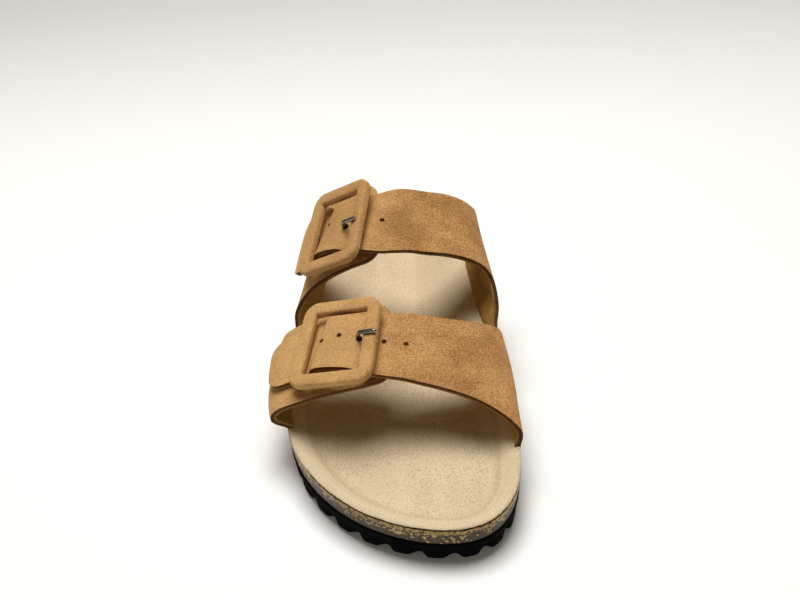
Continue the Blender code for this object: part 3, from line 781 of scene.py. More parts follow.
@dataclass
class SoleShape:
    """Plan and heights of the footbed, shared by every piece of the sole."""

    outline: Rows = (
        (0.00, 16.0, 16.0),
        (0.03, -11.5, 35.0),
        (0.10, -33.2, 44.2),
        (0.20, -48.3, 47.0),
        (0.30, -53.8, 46.6),
        (0.40, -52.0, 43.0),
        (0.50, -48.0, 38.4),
        (0.62, -43.4, 35.0),
        (0.75, -38.6, 33.4),
        (0.88, -34.6, 31.0),
        (0.97, -19.5, 17.5),
        (1.00, -1.0, -1.0),
    )
    outsole_profile: Rows = (
        (0.00, 2.6, 11.8),
        (0.08, 0.9, 11.6),
        (0.18, 0.0, 11.6),
        (0.50, 0.0, 12.2),
        (0.90, 0.0, 12.6),
        (1.00, 0.8, 12.8),
    )
    footbed: Rows = (
        (0.00, 17.2, 20.6, 20.6, 11.0, 11.0),
        (0.10, 16.6, 20.8, 21.4, 12.0, 12.0),
        (0.20, 16.8, 21.8, 24.4, 13.0, 15.0),
        (0.29, 18.6, 23.6, 27.4, 15.0, 20.0),
        (0.38, 18.4, 26.6, 30.6, 18.0, 28.0),
        (0.50, 21.0, 29.6, 35.0, 21.0, 34.0),
        (0.62, 20.6, 31.2, 37.2, 24.0, 33.0),
        (0.80, 18.6, 33.6, 37.0, 28.0, 29.0),
        (1.00, 19.0, 36.5, 36.5, 30.0, 30.0),
    )
    spine_front: Pair = (5.0, 48.0)
    spine_rear: Pair = (-0.5, 222.0)
    edge_samples: int = 1440
    probe_angle: float = 1e-3
    batch: int = 500

    def __post_init__(self) -> None:
        """Works out the curves once."""
        plan = np.array(self.outline)
        angles = np.arccos(1.0 - 2.0 * plan[:, 0])
        knots = np.concatenate([-angles[::-1], angles[1:]])
        self.edge_curve = Curve.closed(knots, np.concatenate([plan[::-1, 1], plan[1:, 2]]))
        self.under, self.upper = (Curve.through(self.outsole_profile, i) for i in (1, 2))
        self.floor, *self.rims = (Curve.through(self.footbed, i) for i in (1, 2, 3))
        self.reaches = [Curve.through(self.footbed, i) for i in (4, 5)]
        fine = np.linspace(-math.pi, math.pi, self.edge_samples + 1)
        self.fine_edge = self.edge(fine)
        steps = np.linalg.norm(np.diff(self.fine_edge, axis=0), axis=1)
        self.fine_angles, self.walked = fine, np.concatenate([[0.0], np.cumsum(steps)])

    def edge(self, angle: Array) -> Array:
        """Plan points of the footbed's edge, by angles from the heel (-pi) over the toe (0) and back."""
        return np.stack([self.edge_curve.at(angle), SOLE_LENGTH * (1.0 - np.cos(angle)) / 2.0], axis=-1)

    def angles(self, count: int) -> Array:
        """Angles of evenly spaced points round the edge, the first repeated at the end."""
        return np.interp(np.linspace(0.0, self.walked[-1], count + 1), self.walked, self.fine_angles)

    def edge_x(self, station: Array, side: Side) -> Array:
        """The edge's x at stations on one side."""
        angle = np.arccos(np.clip(1.0 - 2.0 * np.asarray(station, float) / SOLE_LENGTH, -1.0, 1.0))
        return self.edge_curve.at(side.value * angle)

    def inset(self, angle: Array, distance: Array) -> Array:
        """The edge's points moved inwards.

        Args:
            angle: Where on the edge.
            distance: How far inwards, for each point.

        Returns:
            Plan points.
        """
        tangent = self.edge(angle + self.probe_angle) - self.edge(angle - self.probe_angle)
        at_heel = np.abs(np.abs(angle) - math.pi) < 2.0 * self.probe_angle
        tangent[at_heel] = (1.0, 0.0)
        tangent /= np.linalg.norm(tangent, axis=-1, keepdims=True)
        inward = np.stack([-tangent[:, 1], tangent[:, 0]], axis=-1)
        inward[at_heel] = (0.0, -1.0)
        return self.edge(angle) + inward * np.asarray(distance, float).reshape(-1, 1)

    def towards_spine(self, angle: Array, share: Array) -> Array:
        """Plan points on the way from the edge to the sole's middle line.

        Args:
            angle: Where on the edge.
            share: How much of the way, for each point.

        Returns:
            Plan points.
        """
        edge = self.edge(angle)
        front, rear = np.array(self.spine_front), np.array(self.spine_rear)
        climb = np.clip((edge[:, 1] - front[1]) / (rear[1] - front[1]), 0.0, 1.0)
        middle = front + (rear - front) * climb[:, None]
        return edge + (middle - edge) * np.asarray(share, float).reshape(-1, 1)

    def from_edge(self, plan: Array) -> Array:
        """Distances from the footbed's edge, worked out batch by batch to spare memory.

        Args:
            plan: Plan points.

        Returns:
            Their distances.
        """
        gaps = []
        for start in range(0, len(plan), self.batch):
            ways = plan[start : start + self.batch, None] - self.fine_edge[None]
            gaps.append(np.linalg.norm(ways, axis=2).min(axis=1))
        return np.concatenate(gaps)

    def top(self, plan: Array) -> Array:
        """Heights of the insole's upper face.

        Args:
            plan: Plan points.

        Returns:
            The height at each.
        """
        share = plan[:, 1] / SOLE_LENGTH
        left, right = (self.edge_x(plan[:, 1], side) for side in Side)
        across = (2.0 * plan[:, 0] - left - right) / np.maximum(right - left, 1.0)
        medial = smooth_step(across, -0.5, 0.5)
        rim = self.rims[0].at(share) * (1.0 - medial) + self.rims[1].at(share) * medial
        reach = self.reaches[0].at(share) * (1.0 - medial) + self.reaches[1].at(share) * medial
        bowl = 1.0 - smooth_step(self.from_edge(plan) / reach, 0.0, 1.0)
        floor = self.floor.at(share)
        return floor + (rim - floor) * bowl

    def rim(self, station: Array, side: Side) -> Array:
        """Height of the insole's edge."""
        return self.rims[0 if side is Side.LATERAL else 1].at(np.asarray(station, float) / SOLE_LENGTH)


@dataclass
class Last:
    """The foot form that the straps are pulled over, as sections a millimetre apart."""

    sole: SoleShape
    sections: Rows = (
        (30.0, 33.0, 10.0, 2.6, 6.0, 2.0, 1.9),
        (65.0, 46.0, 8.0, 0.1, 7.3, 1.95, 1.85),
        (100.0, 59.0, 4.0, 0.8, 6.0, 2.0, 1.75),
        (130.0, 73.0, -6.0, 5.0, 2.2, 2.5, 1.58),
        (165.0, 86.2, -10.0, 4.4, 1.5, 2.6, 1.53),
        (200.0, 97.0, -12.0, 4.0, 1.5, 2.6, 1.53),
    )
    medial_rise: float = 0.32
    lateral_rise: float = 0.30
    first: int = 34
    final: int = 196
    past_rim: float = 0.1
    share_steps: int = 1200
    flare_points: int = 25
    arch_points: int = 161
    probe_share: float = 0.012
    probe_station: float = 2.0

    def __post_init__(self) -> None:
        """Samples the sections once."""
        curves = [Curve.through(self.sections, i) for i in range(1, 7)]
        self.shares = np.linspace(-self.past_rim, 1.0 + self.past_rim, self.share_steps + 1)
        rows, girths = [], []
        for station in range(self.first, self.final + 1):
            points, shares, girth = self._section(float(station), [float(c.at(station)) for c in curves])
            rows.append([np.interp(self.shares, shares, points[:, i]) for i in (0, 1)])
            girths.append(girth)
        self.grid = np.array(rows).transpose(0, 2, 1)
        self.girths = np.array(girths)

    def _section(self, station: float, sizes: list[float]) -> tuple[Array, Array, float]:
        """One section from the medial tuck over the crown to the lateral tuck.

        Args:
            station: Where the section stands.
            sizes: Crown height, crown x, bulges and fullnesses.

        Returns:
            Its points, their shares of the way between the rims, and that way's length.
        """
        crown, crown_x, *rest = sizes
        halves = []
        sides = (Side.MEDIAL, Side.LATERAL)
        rises = (self.medial_rise, self.lateral_rise)
        for side, rise_share, bulge, power in zip(sides, rises, rest, rest[2:]):
            rim = float(self.sole.rim(station, side))
            rise = rise_share * (crown - rim)
            foot = float(self.sole.edge_x(station, side)) - side.value * STRAP_THICKNESS
            widest = foot + side.value * bulge
            climb = np.linspace(0.0, 1.0, self.flare_points)
            turn = np.linspace(0.0, math.pi / 2, self.arch_points)[1:]
            arch_x = crown_x + (widest - crown_x) * np.cos(turn).clip(0.0) ** (2.0 / power)
            arch_z = rim + rise + (crown - rim - rise) * np.sin(turn) ** (2.0 / power)
            flare_x = foot + side.value * bulge * smooth_step(climb, 0.0, 1.0)
            x = np.concatenate([[foot], flare_x, arch_x])
            z = np.concatenate([[rim - 2.0 * TUCK], rim + rise * climb, arch_z])
            halves.append(np.stack([x, z], axis=-1))
        points = np.concatenate([halves[0], halves[1][::-1][1:]])
        walked = np.concatenate([[0.0], np.cumsum(np.linalg.norm(np.diff(points, axis=0), axis=1))])
        girth = walked[-2] - walked[1]
        return points, (walked - walked[1]) / girth, girth

    def girth(self, station: Array) -> Array:
        """Length of the way over the foot between the two rims."""
        return np.interp(station, np.arange(self.first, self.final + 1), self.girths)

    def point(self, station: Array, share: Array) -> Array:
        """Points of the foot form.

        Args:
            station: Their stations.
            share: Their shares of the way over the foot, from the medial rim to the lateral one.

        Returns:
            The points.
        """
        station, share = np.broadcast_arrays(np.asarray(station, float), np.asarray(share, float))
        row = np.clip(station - self.first, 0.0, len(self.grid) - 1.001)
        step = self.shares[1] - self.shares[0]
        column = np.clip((share - self.shares[0]) / step, 0.0, self.share_steps - 0.001)
        i, j = row.astype(int), column.astype(int)
        s, t = (row - i)[..., None], (column - j)[..., None]
        low = self.grid[i, j] * (1.0 - t) + self.grid[i, j + 1] * t
        high = self.grid[i + 1, j] * (1.0 - t) + self.grid[i + 1, j + 1] * t
        plan = low * (1.0 - s) + high * s
        return np.stack([plan[..., 0], station, plan[..., 1]], axis=-1)

    def normal(self, station: Array, share: Array) -> Array:
        """Outward directions of the foot form.

        Args:
            station: Stations of the points.
            share: Their shares of the way over the foot.

        Returns:
            Directions of length 1.
        """
        run = self.point(station, share + self.probe_share) - self.point(station, share - self.probe_share)
        before, behind = station - self.probe_station, station + self.probe_station
        back = self.point(behind, share) - self.point(before, share)
        across = np.cross(back, run)
        return across / np.linalg.norm(across, axis=-1, keepdims=True)

    def over(self, station: Array, share: Array, lift: Array) -> Array:
        """Points at a height over the foot form."""
        return self.point(station, share) + self.normal(station, share) * np.asarray(lift)[..., None]


@dataclass(frozen=True)
class Buckle:
    """How a buckle sits: shares across the foot, the frame's turn and tip in degrees, prong and holes."""

    label: str
    share: float
    station: float
    line: Pair
    tab_end: float
    tail_end: float
    turn: float
    tip: float
    slant: float
    lifts: Rows
    prong: Point
    holes: tuple[Pair, ...]


@dataclass
class StrapShape:
    """A strap's cut: its two edges over the foot, its rounded end and its rise over tab and pin."""

    rows: Rows
    end: float
    end_radius: float
    last: Last
    buckle: Buckle | None = None
    tab_ramp: float = 24.0

    def __post_init__(self) -> None:
        """Works out the edges' curves once."""
        self.front, self.rear = (Curve.through(self.rows, i) for i in (1, 2))

    def middle(self, share: Array) -> Array:
        """Station halfway between the edges."""
        return (self.front.at(share) + self.rear.at(share)) / 2.0

    def station(self, share: Array, across: Array) -> Array:
        """Stations of points on the strap, whose end is rounded.

        Args:
            share: Their shares of the way over the foot.
            across: Their shares of the way from the front edge to the rear one.

        Returns:
            The stations.
        """
        front, rear = self.front.at(share), self.rear.at(share)
        to_end = np.abs(self.end - share) * self.last.girth((front + rear) / 2.0)
        inside = np.clip(self.end_radius - to_end, 0.0, self.end_radius)
        draw = self.end_radius - np.sqrt(np.maximum(0.0, self.end_radius**2 - inside**2))
        return front + draw + (rear - front - 2.0 * draw) * across

    def lift(self, share: Array, station: Array) -> Array:
        """Heights over the foot: nothing at first, then over the tab, and highest over the pin.

        Args:
            share: The points' shares of the way over the foot.
            station: Their stations.

        Returns:
            The heights.
        """
        buckle = self.buckle
        if buckle is None:
            return np.zeros(np.shape(share))
        span = float(self.last.girth(buckle.station))
        ramp = 1.0 - smooth_step((buckle.tab_end - share) * span, 0.0, self.tab_ramp)
        towards_medial = (buckle.share - share) * span - buckle.slant * (station - buckle.station)
        return (STRAP_THICKNESS + LAYER_GAP) * ramp + Curve.through(buckle.lifts, 1).at(towards_medial)


@dataclass
class Quarter:
    """One side of the upper: two straps on a shared base, a suede face bonded to a lining."""

    name: str
    node: str
    side: Side
    straps: tuple[StrapShape, StrapShape]
    join: float
    notch: float
    last: Last
    lining_thickness: float = 1.0
    bond: float = 0.03
    edge_round: float = 0.32
    crisp_angle: float = 55.0
    columns: int = 22
    base_rows: int = 14
    strap_rows: int = 96
    end_rows: int = 12
    bridge_columns: int = 20

    def _base_share(self, station: Array, top: Array, row: Array) -> Array:
        """Shares of the base's rows, from its tucked foot up to its top.

        Args:
            station: Stations of the points.
            top: Shares at the top.
            row: Row numbers.

        Returns:
            The shares.
        """
        rim = self.side.rim
        foot = rim - self.side.value * TUCK / self.last.girth(station)
        return foot + (top - foot) * row / self.base_rows

    def _strap_layer(self, strap: StrapShape, lift: float) -> Layer:
        """How a strap's blank is laid over the foot.

        Args:
            strap: The strap's cut.
            lift: Height of this layer over the foot form.

        Returns:
            The laying function.
        """
        span = float(self.last.girth(strap.middle(strap.end)))
        turn = math.copysign(strap.end_radius / span, strap.end - self.join)
        body = np.linspace(self.join, strap.end - turn, self.strap_rows + 1)
        tip = strap.end - turn + turn * np.sin(np.linspace(0.0, math.pi / 2, self.end_rows + 1))[1:]
        shares = np.concatenate([body, tip])

        def layer(column: Array, row: Array) -> Array:
            """Points of the laid blank.

            Args:
                column: Column numbers of the blank's points.
                row: Their row numbers.

            Returns:
                Points of the tables' frame.
            """
            across = column / self.columns
            rim_station = strap.station(np.full(len(row), self.side.rim), across)
            base = self._base_share(rim_station, self.join, row)
            share = np.where(row < self.base_rows, base, shares[np.maximum(row - self.base_rows, 0)])
            station = strap.station(share, across)
            height = np.where(row < self.base_rows, 0.0, strap.lift(share, station)) + lift
            return self.last.over(station, share, height)

        return layer

    def _bridge_layer(self, lift: float) -> Layer:
        """How the base between the straps is laid, up to its rounded notch.

        Args:
            lift: Height of this layer over the foot form.

        Returns:
            The laying function.
        """
        front, rear = self.straps

        def layer(column: Array, row: Array) -> Array:
            """Points of the laid blank.

            Args:
                column: Column numbers of the blank's points.
                row: Their row numbers.

            Returns:
                Points of the tables' frame.
            """
            t = column / self.bridge_columns
            start, end = float(front.rear.at(self.side.rim)), float(rear.front.at(self.side.rim))
            hollow = np.sqrt(np.maximum(0.0, 1.0 - (2.0 * t - 1.0) ** 2))
            top = self.join - (self.join - self.notch) * hollow
            share = self._base_share(start + (end - start) * t, top, row)
            low = front.station(share, np.ones(len(t)))
            high = rear.station(share, np.zeros(len(t)))
            return self.last.over(low + (high - low) * t, share, np.full(len(t), lift))

        return layer

    def skin(self, name: str, lift: float, thickness: float) -> Piece:
        """One leather layer of the quarter, with rounded cut edges.

        Args:
            name: Name of the piece.
            lift: Height of its inner face over the foot form.
            thickness: Its thickness.

        Returns:
            The piece, with its outer face, inner face and rim in material slots 0, 1 and 2.
        """
        rows = self.base_rows + self.strap_rows + self.end_rows
        sheets = [
            Bench.sheet(f"{name}_strap", self.columns, rows, self._strap_layer(strap, lift))
            for strap in self.straps
        ]
        bridge = self._bridge_layer(lift)
        sheets.append(Bench.sheet(f"{name}_bridge", self.bridge_columns, self.base_rows, bridge))
        piece = Bench.join(name, sheets)
        Bench.weld(piece, 0.02, outwards=False)
        Bench.face(piece, Vector((SIDE_SHIFT * MM, 0.0, 0.03)))
        for _ in range(3):
            piece.data.materials.append(None)
        Bench.modify(
            piece, "SOLIDIFY", thickness=thickness * MM, offset=1.0, use_even_offset=True,
            material_offset=1, material_offset_rim=2,
        )
        Bench.modify(
            piece, "BEVEL", width=self.edge_round * MM, segments=2, limit_method="ANGLE",
            angle_limit=math.radians(self.crisp_angle), material=2,
        )
        return piece

    def build(self, outer: Finish, inner: Finish, edges: Sequence[Finish], cutters: Sequence[Piece]) -> None:
        """Makes and dresses the quarter's two layers.

        Args:
            outer: Finish of the suede face.
            inner: Finish of the lining's foot side.
            edges: Finishes of the cut edges of the face and of the lining.
            cutters: Punches for the strap's holes.
        """
        face = self.skin(f"{self.name}_suede", self.lining_thickness + self.bond,
                         STRAP_THICKNESS - self.lining_thickness - self.bond)
        lining = self.skin(f"{self.name}_lining", 0.0, self.lining_thickness)
        for piece, finishes in ((face, (outer, edges[0], edges[0])), (lining, (inner, inner, edges[1]))):
            for slot, finish in enumerate(finishes):
                piece.data.materials[slot] = finish
            for cutter in cutters:
                Bench.modify(piece, "BOOLEAN", operation="DIFFERENCE", object=cutter)
            Bench.finish(piece, self.node, "suede")


@dataclass
class BucklePlace:
    """A buckle's directions in space, and the height of its frame's seat over the foot form."""

    strap: StrapShape
    tab: StrapShape
    buckle: Buckle
    last: Last
    opening_along: float = 25.4
    opening_across: float = 31.2
    bar: float = 6.3
    seat_band: Pair = (0.15, 0.85)
    seat_rows: int = 41
    seat_columns: int = 9

    def __post_init__(self) -> None:
        """Finds the place once."""
        last, strap, share = self.last, self.strap, self.buckle.share
        self.station = self.buckle.station
        self.span = float(last.girth(self.station))
        self.origin = last.point(self.station, share)
        self.reach = (self.opening_along + self.bar) / 2.0 / self.span
        medial_end, lateral_end = self.buckle.line
        ends = [last.point(medial_end, share - self.reach), last.point(lateral_end, share + self.reach)]
        half = self.opening_across / 2.0
        back = last.point(self.station + half, share) - last.point(self.station - half, share)
        medial = (ends[0] - ends[1]) / np.linalg.norm(ends[0] - ends[1])
        normal = np.cross(medial, back)
        normal /= np.linalg.norm(normal)
        tip, turn = math.radians(self.buckle.tip), math.radians(self.buckle.turn)
        rising = medial * math.cos(tip) + normal * math.sin(tip)
        self.normal = normal * math.cos(tip) - medial * math.sin(tip)
        self.medial = rising * math.cos(turn) - np.cross(normal, medial) * math.sin(turn)
        self.back = np.cross(self.normal, self.medial)
        self.seat = SEAT_GAP + max(self._highest(strap), self._highest(self.tab))

    def _highest(self, strap: StrapShape) -> float:
        """How high a strap or a tab reaches under the frame's bars.

        Args:
            strap: The strap or tab.

        Returns:
            Its highest point there, or minus infinity where nothing is under the bars.
        """
        half = np.array([self.opening_along, self.opening_across]) / 2.0
        inner, outer = (half + self.bar * share for share in self.seat_band)
        search = self.reach + self.bar / self.span
        middle, rows, columns = self.buckle.share, self.seat_rows, self.seat_columns
        shares = np.repeat(np.linspace(middle - search, middle + search, rows), columns)
        across = np.tile(np.linspace(0.0, 1.0, columns), rows)
        front, rear = strap.front.at(shares), strap.rear.at(shares)
        stations = front + (rear - front) * across
        points = self.last.over(stations, shares, strap.lift(shares, stations) + STRAP_THICKNESS)
        offsets = points - self.origin
        local = np.abs(np.stack([offsets @ self.medial, offsets @ self.back], axis=-1))
        under_bar = np.all(local < outer, axis=1) & np.any(local > inner, axis=1)
        return float((offsets @ self.normal)[under_bar].max(initial=-math.inf))

    def at(self, along: Array, across: Array, up: Array) -> Array:
        """Points from distances towards the medial side, the heel and outwards."""
        parts = zip((self.medial, self.back, self.normal), (along, across, up))
        return self.origin + sum(np.asarray(size, float)[..., None] * axis for axis, size in parts)


@dataclass
class BuckleParts:
    """A leather-covered frame and its steel pin."""

    place: BucklePlace
    frame_thickness: float = 4.4
    taper: float = 0.045
    corner: float = 3.8
    squareness: float = 0.58
    corner_steps: int = 10
    side_steps: int = 14
    section_steps: int = 32
    seam_depth: float = 0.28
    seam_width: float = 0.22
    seam_drop: float = 0.35
    pin_radius: float = 1.1
    pin_lift: float = 0.9
    pin_gap: float = 0.3
    prong_radius: float = 1.0
    prong_flatten: float = 0.9
    prong_gap: float = 0.05
    prong_nod: Pair = (1.0, 0.1)
    tip_share: float = 0.06
    tip_flat: float = 0.02
    # Heights about the frame's top over which the pin comes out of its painted shade.
    unshaded: Pair = (-1.6, 0.2)
    rod_rows: int = 40
    rod_sides: int = 20
    rod_probe: float = 0.01
    rod_lean: float = 0.31
    closed: float = 0.001
    way_room: float = 0.45
    way_start: Pair = (-2.2, 1.5)
    way_end: Pair = (2.4, 3.0)
    hole_radius: float = 1.15
    hole_foot: float = -1.0
    hole_foot_on_tab: float = 0.15
    hole_top: float = 14.0
    punch_rows: int = 8
    punch_sides: int = 16
    prong_climb: Rows = (
        (-3.0, 0.12),
        (-1.2, 0.40),
        (0.2, 0.75),
        (1.6, 0.97),
        (2.6, 1.00),
    )

    @property
    def label(self) -> str:
        """The buckle's name."""
        return self.place.buckle.label

    def _frame_path(self) -> tuple[Array, Array]:
        """The frame's middle line.

        Returns:
            Points round it, the first one repeated, and their outward directions.
        """
        place = self.place
        half = np.array([place.opening_along + place.bar, place.opening_across + place.bar]) / 2.0
        centres = np.array(((1, 1), (-1, 1), (-1, -1), (1, -1))) * (half - self.corner)
        points, outs = [], []
        for turn, centre in enumerate(centres):
            for k in range(self.corner_steps + 1):
                angle = math.pi / 2 * (turn + k / self.corner_steps)
                outs.append(np.array([math.cos(angle), math.sin(angle)]))
                points.append(centre + outs[-1] * self.corner)
            ahead = centres[(turn + 1) % 4] + outs[-1] * self.corner
            for k in range(1, self.side_steps):
                points.append(points[-1] + (ahead - points[-1]) / (self.side_steps - k + 1))
                outs.append(outs[-1])
        points.append(points[0])
        outs.append(outs[0])
        return np.array(points), np.array(outs)

    def build_frame(self, suede: Finish) -> None:
        """Makes and dresses the covered frame: a rolled bar with the cover's seam along its outer side.

        Args:
            suede: The cover's finish.
        """
        place = self.place
        path, outs = self._frame_path()
        turns = 2.0 * math.pi * np.arange(self.section_steps + 1) / self.section_steps
        wide = np.sign(np.cos(turns)) * np.abs(np.cos(turns)) ** self.squareness * place.bar / 2.0
        high = np.sign(np.sin(turns)) * np.abs(np.sin(turns)) ** self.squareness * self.frame_thickness / 2.0
        middle = place.seat + self.frame_thickness / 2.0

        def layer(column: Array, row: Array) -> Array:
            """Points of the rolled bar.

            Args:
                column: Column numbers of the blank's points.
                row: Their row numbers.

            Returns:
                Points of the tables' frame.
            """
            outer = np.cos(turns[column]) > 0.0
            seam = self.seam_depth * bump(high[column] + self.seam_drop, self.seam_width) * outer
            reach = (wide[column] - seam)[:, None]
            along, across = (path[row] + outs[row] * reach).T
            along = along * (1.0 - self.taper * across / (place.opening_across / 2.0 + place.bar))
            return place.at(along, across, middle + high[column])

        piece = Bench.sheet(f"{self.label}_frame_cover", self.section_steps, len(path) - 1, layer)
        Bench.weld(piece, 0.01)
        piece.data.materials.append(suede)
        Bench.finish(piece, f"{self.label}_buckle_frame", "suede")

    def _prong(self, share: Array) -> Array:
        """The prong's middle line.

        Args:
            share: Shares of its length, from the bar to its tip.

        Returns:
            Points there.
        """
        place = self.place
        root, tip, across = place.buckle.prong
        low = STRAP_THICKNESS + self.pin_lift + self.pin_radius
        rest = place.seat + self.frame_thickness + self.prong_radius * self.prong_flatten + self.prong_gap
        nod, drop = self.prong_nod
        table = np.array(self.prong_climb)
        along = np.concatenate([[0.0], root + table[:, 0], [tip - nod, tip]])
        up = np.concatenate([[low], low + (rest - low) * table[:, 1], [rest, rest - drop]])
        walked = np.concatenate([[0.0], np.cumsum(np.hypot(np.diff(along), np.diff(up)))])
        curve_along, curve_up = (Curve.through(tuple(zip(walked, values)), 1) for values in (along, up))
        at = np.asarray(share, float) * walked[-1]
        return place.at(curve_along.at(at), np.full(np.shape(at), across), curve_up.at(at))

    def _rod(self, name: str, line: Line, radius: Array, sides: int, flatten: float = 1.0) -> Piece:
        """A round rod along a line.

        Args:
            name: Name of the piece.
            line: Points of its middle line, from shares of its length.
            radius: Radius at evenly spaced places from end to end.
            sides: Faces round it.
            flatten: Its height as a share of its width.

        Returns:
            The rod, with closed ends.
        """
        count = len(radius) - 1

        def layer(column: Array, row: Array) -> Array:
            """Points of the rod's wall.

            Args:
                column: Column numbers of the blank's points.
                row: Their row numbers.

            Returns:
                Points of the tables' frame.
            """
            share = row / count
            before, after = (np.clip(share + step, 0.0, 1.0) for step in (-self.rod_probe, self.rod_probe))
            ahead = line(after) - line(before)
            ahead /= np.linalg.norm(ahead, axis=1, keepdims=True)
            side = np.cross(ahead, self.place.normal + self.rod_lean * self.place.medial)
            side /= np.linalg.norm(side, axis=1, keepdims=True)
            top = np.cross(side, ahead)
            turn = 2.0 * math.pi * column / sides
            wide = (radius[row] * np.cos(turn))[:, None]
            high = (radius[row] * flatten * np.sin(turn))[:, None]
            return line(share) + side * wide + top * high

        piece = Bench.sheet(name, sides, count, layer)
        Bench.weld(piece, 0.01)
        return piece

    def build_pin(self, steel: Finish) -> None:
        """Makes and dresses the steel pin: the bar under the strap, and the prong that comes up through it.

        Args:
            steel: The pin's finish.
        """
        place = self.place
        height = STRAP_THICKNESS + self.pin_lift + self.pin_radius
        half = place.opening_across / 2.0 - self.pin_gap

        def bar_line(share: Array) -> Array:
            """Points of the bar's middle line, at shares of its length."""
            across = (2.0 * np.asarray(share, float) - 1.0) * half
            return place.at(np.zeros(np.shape(across)), across, np.full(np.shape(across), height))

        shares = np.linspace(0.0, 1.0, self.rod_rows + 1)
        into_tip = np.clip(1.0 - (1.0 - shares) / self.tip_share, 0.0, 1.0)
        prong_radius = self.prong_radius * np.maximum(np.sqrt(1.0 - into_tip**2), self.tip_flat)
        prong_radius[0] = self.closed
        bar_radius = np.full(len(shares), self.pin_radius)
        bar_radius[[0, -1]] *= self.closed
        bar = self._rod(f"{self.label}_pin", bar_line, bar_radius, self.rod_sides)
        flat = self.prong_flatten
        prong = self._rod(f"{self.label}_prong", self._prong, prong_radius, self.rod_sides, flat)
        piece = Bench.join(f"{self.label}_pin", [bar, prong])
        self._mark_unshaded(piece)
        piece.data.materials.append(steel)
        Bench.finish(piece, f"{self.label}_buckle_pin", "steel")

    def _mark_unshaded(self, piece: Piece) -> None:
        """Stores where the pin stands clear of its painted shade: high up, and not in its hole.

        Args:
            piece: The pin.
        """
        up = (Bench.points(piece) - self.place.origin) @ self.place.normal
        top = self.place.seat + self.frame_thickness
        low, high = self.unshaded
        Bench.mark(piece, "unshaded", smooth_step(up, top + low, top + high))

    def punches(self) -> list[Piece]:
        """Makes cutters for the prong's way and for the punched holes beside it.

        Returns:
            The cutters.
        """
        place, buckle = self.place, self.place.buckle
        root, _, across = buckle.prong
        tab_top, frame_top = STRAP_THICKNESS + LAYER_GAP, place.seat + self.frame_thickness
        ends = [
            place.at(root + along, across, base + up)
            for base, (along, up) in ((tab_top, self.way_start), (frame_top, self.way_end))
        ]
        cutters = [self._punch("way", ends, self.prong_radius + self.way_room)]
        for to_medial, to_heel in buckle.holes:
            share = buckle.share - to_medial / place.span
            station = float(place.strap.middle(share)) + to_heel
            on_tab = share >= buckle.tab_end
            foot = STRAP_THICKNESS + self.hole_foot_on_tab if on_tab else self.hole_foot
            spot = np.array(station), np.array(share)
            ends = [place.last.over(*spot, np.array(lift)) for lift in (foot, self.hole_top)]
            cutters.append(self._punch("punch", ends, self.hole_radius))
        return cutters

    def _punch(self, name: str, ends: Sequence[Array], radius: float) -> Piece:
        """A straight cutter with closed ends.

        Args:
            name: What it cuts.
            ends: The two ends of its middle line.
            radius: Its radius.

        Returns:
            The cutter.
        """
        start, end = ends
        radii = np.full(self.punch_rows + 1, radius)
        radii[[0, -1]] = self.closed

        def line(share: Array) -> Array:
            """Points of the middle line, at shares of its length."""
            return start + (end - start) * np.asarray(share, float)[..., None]

        return self._rod(f"{self.label}_{name}", line, radii, self.punch_sides)


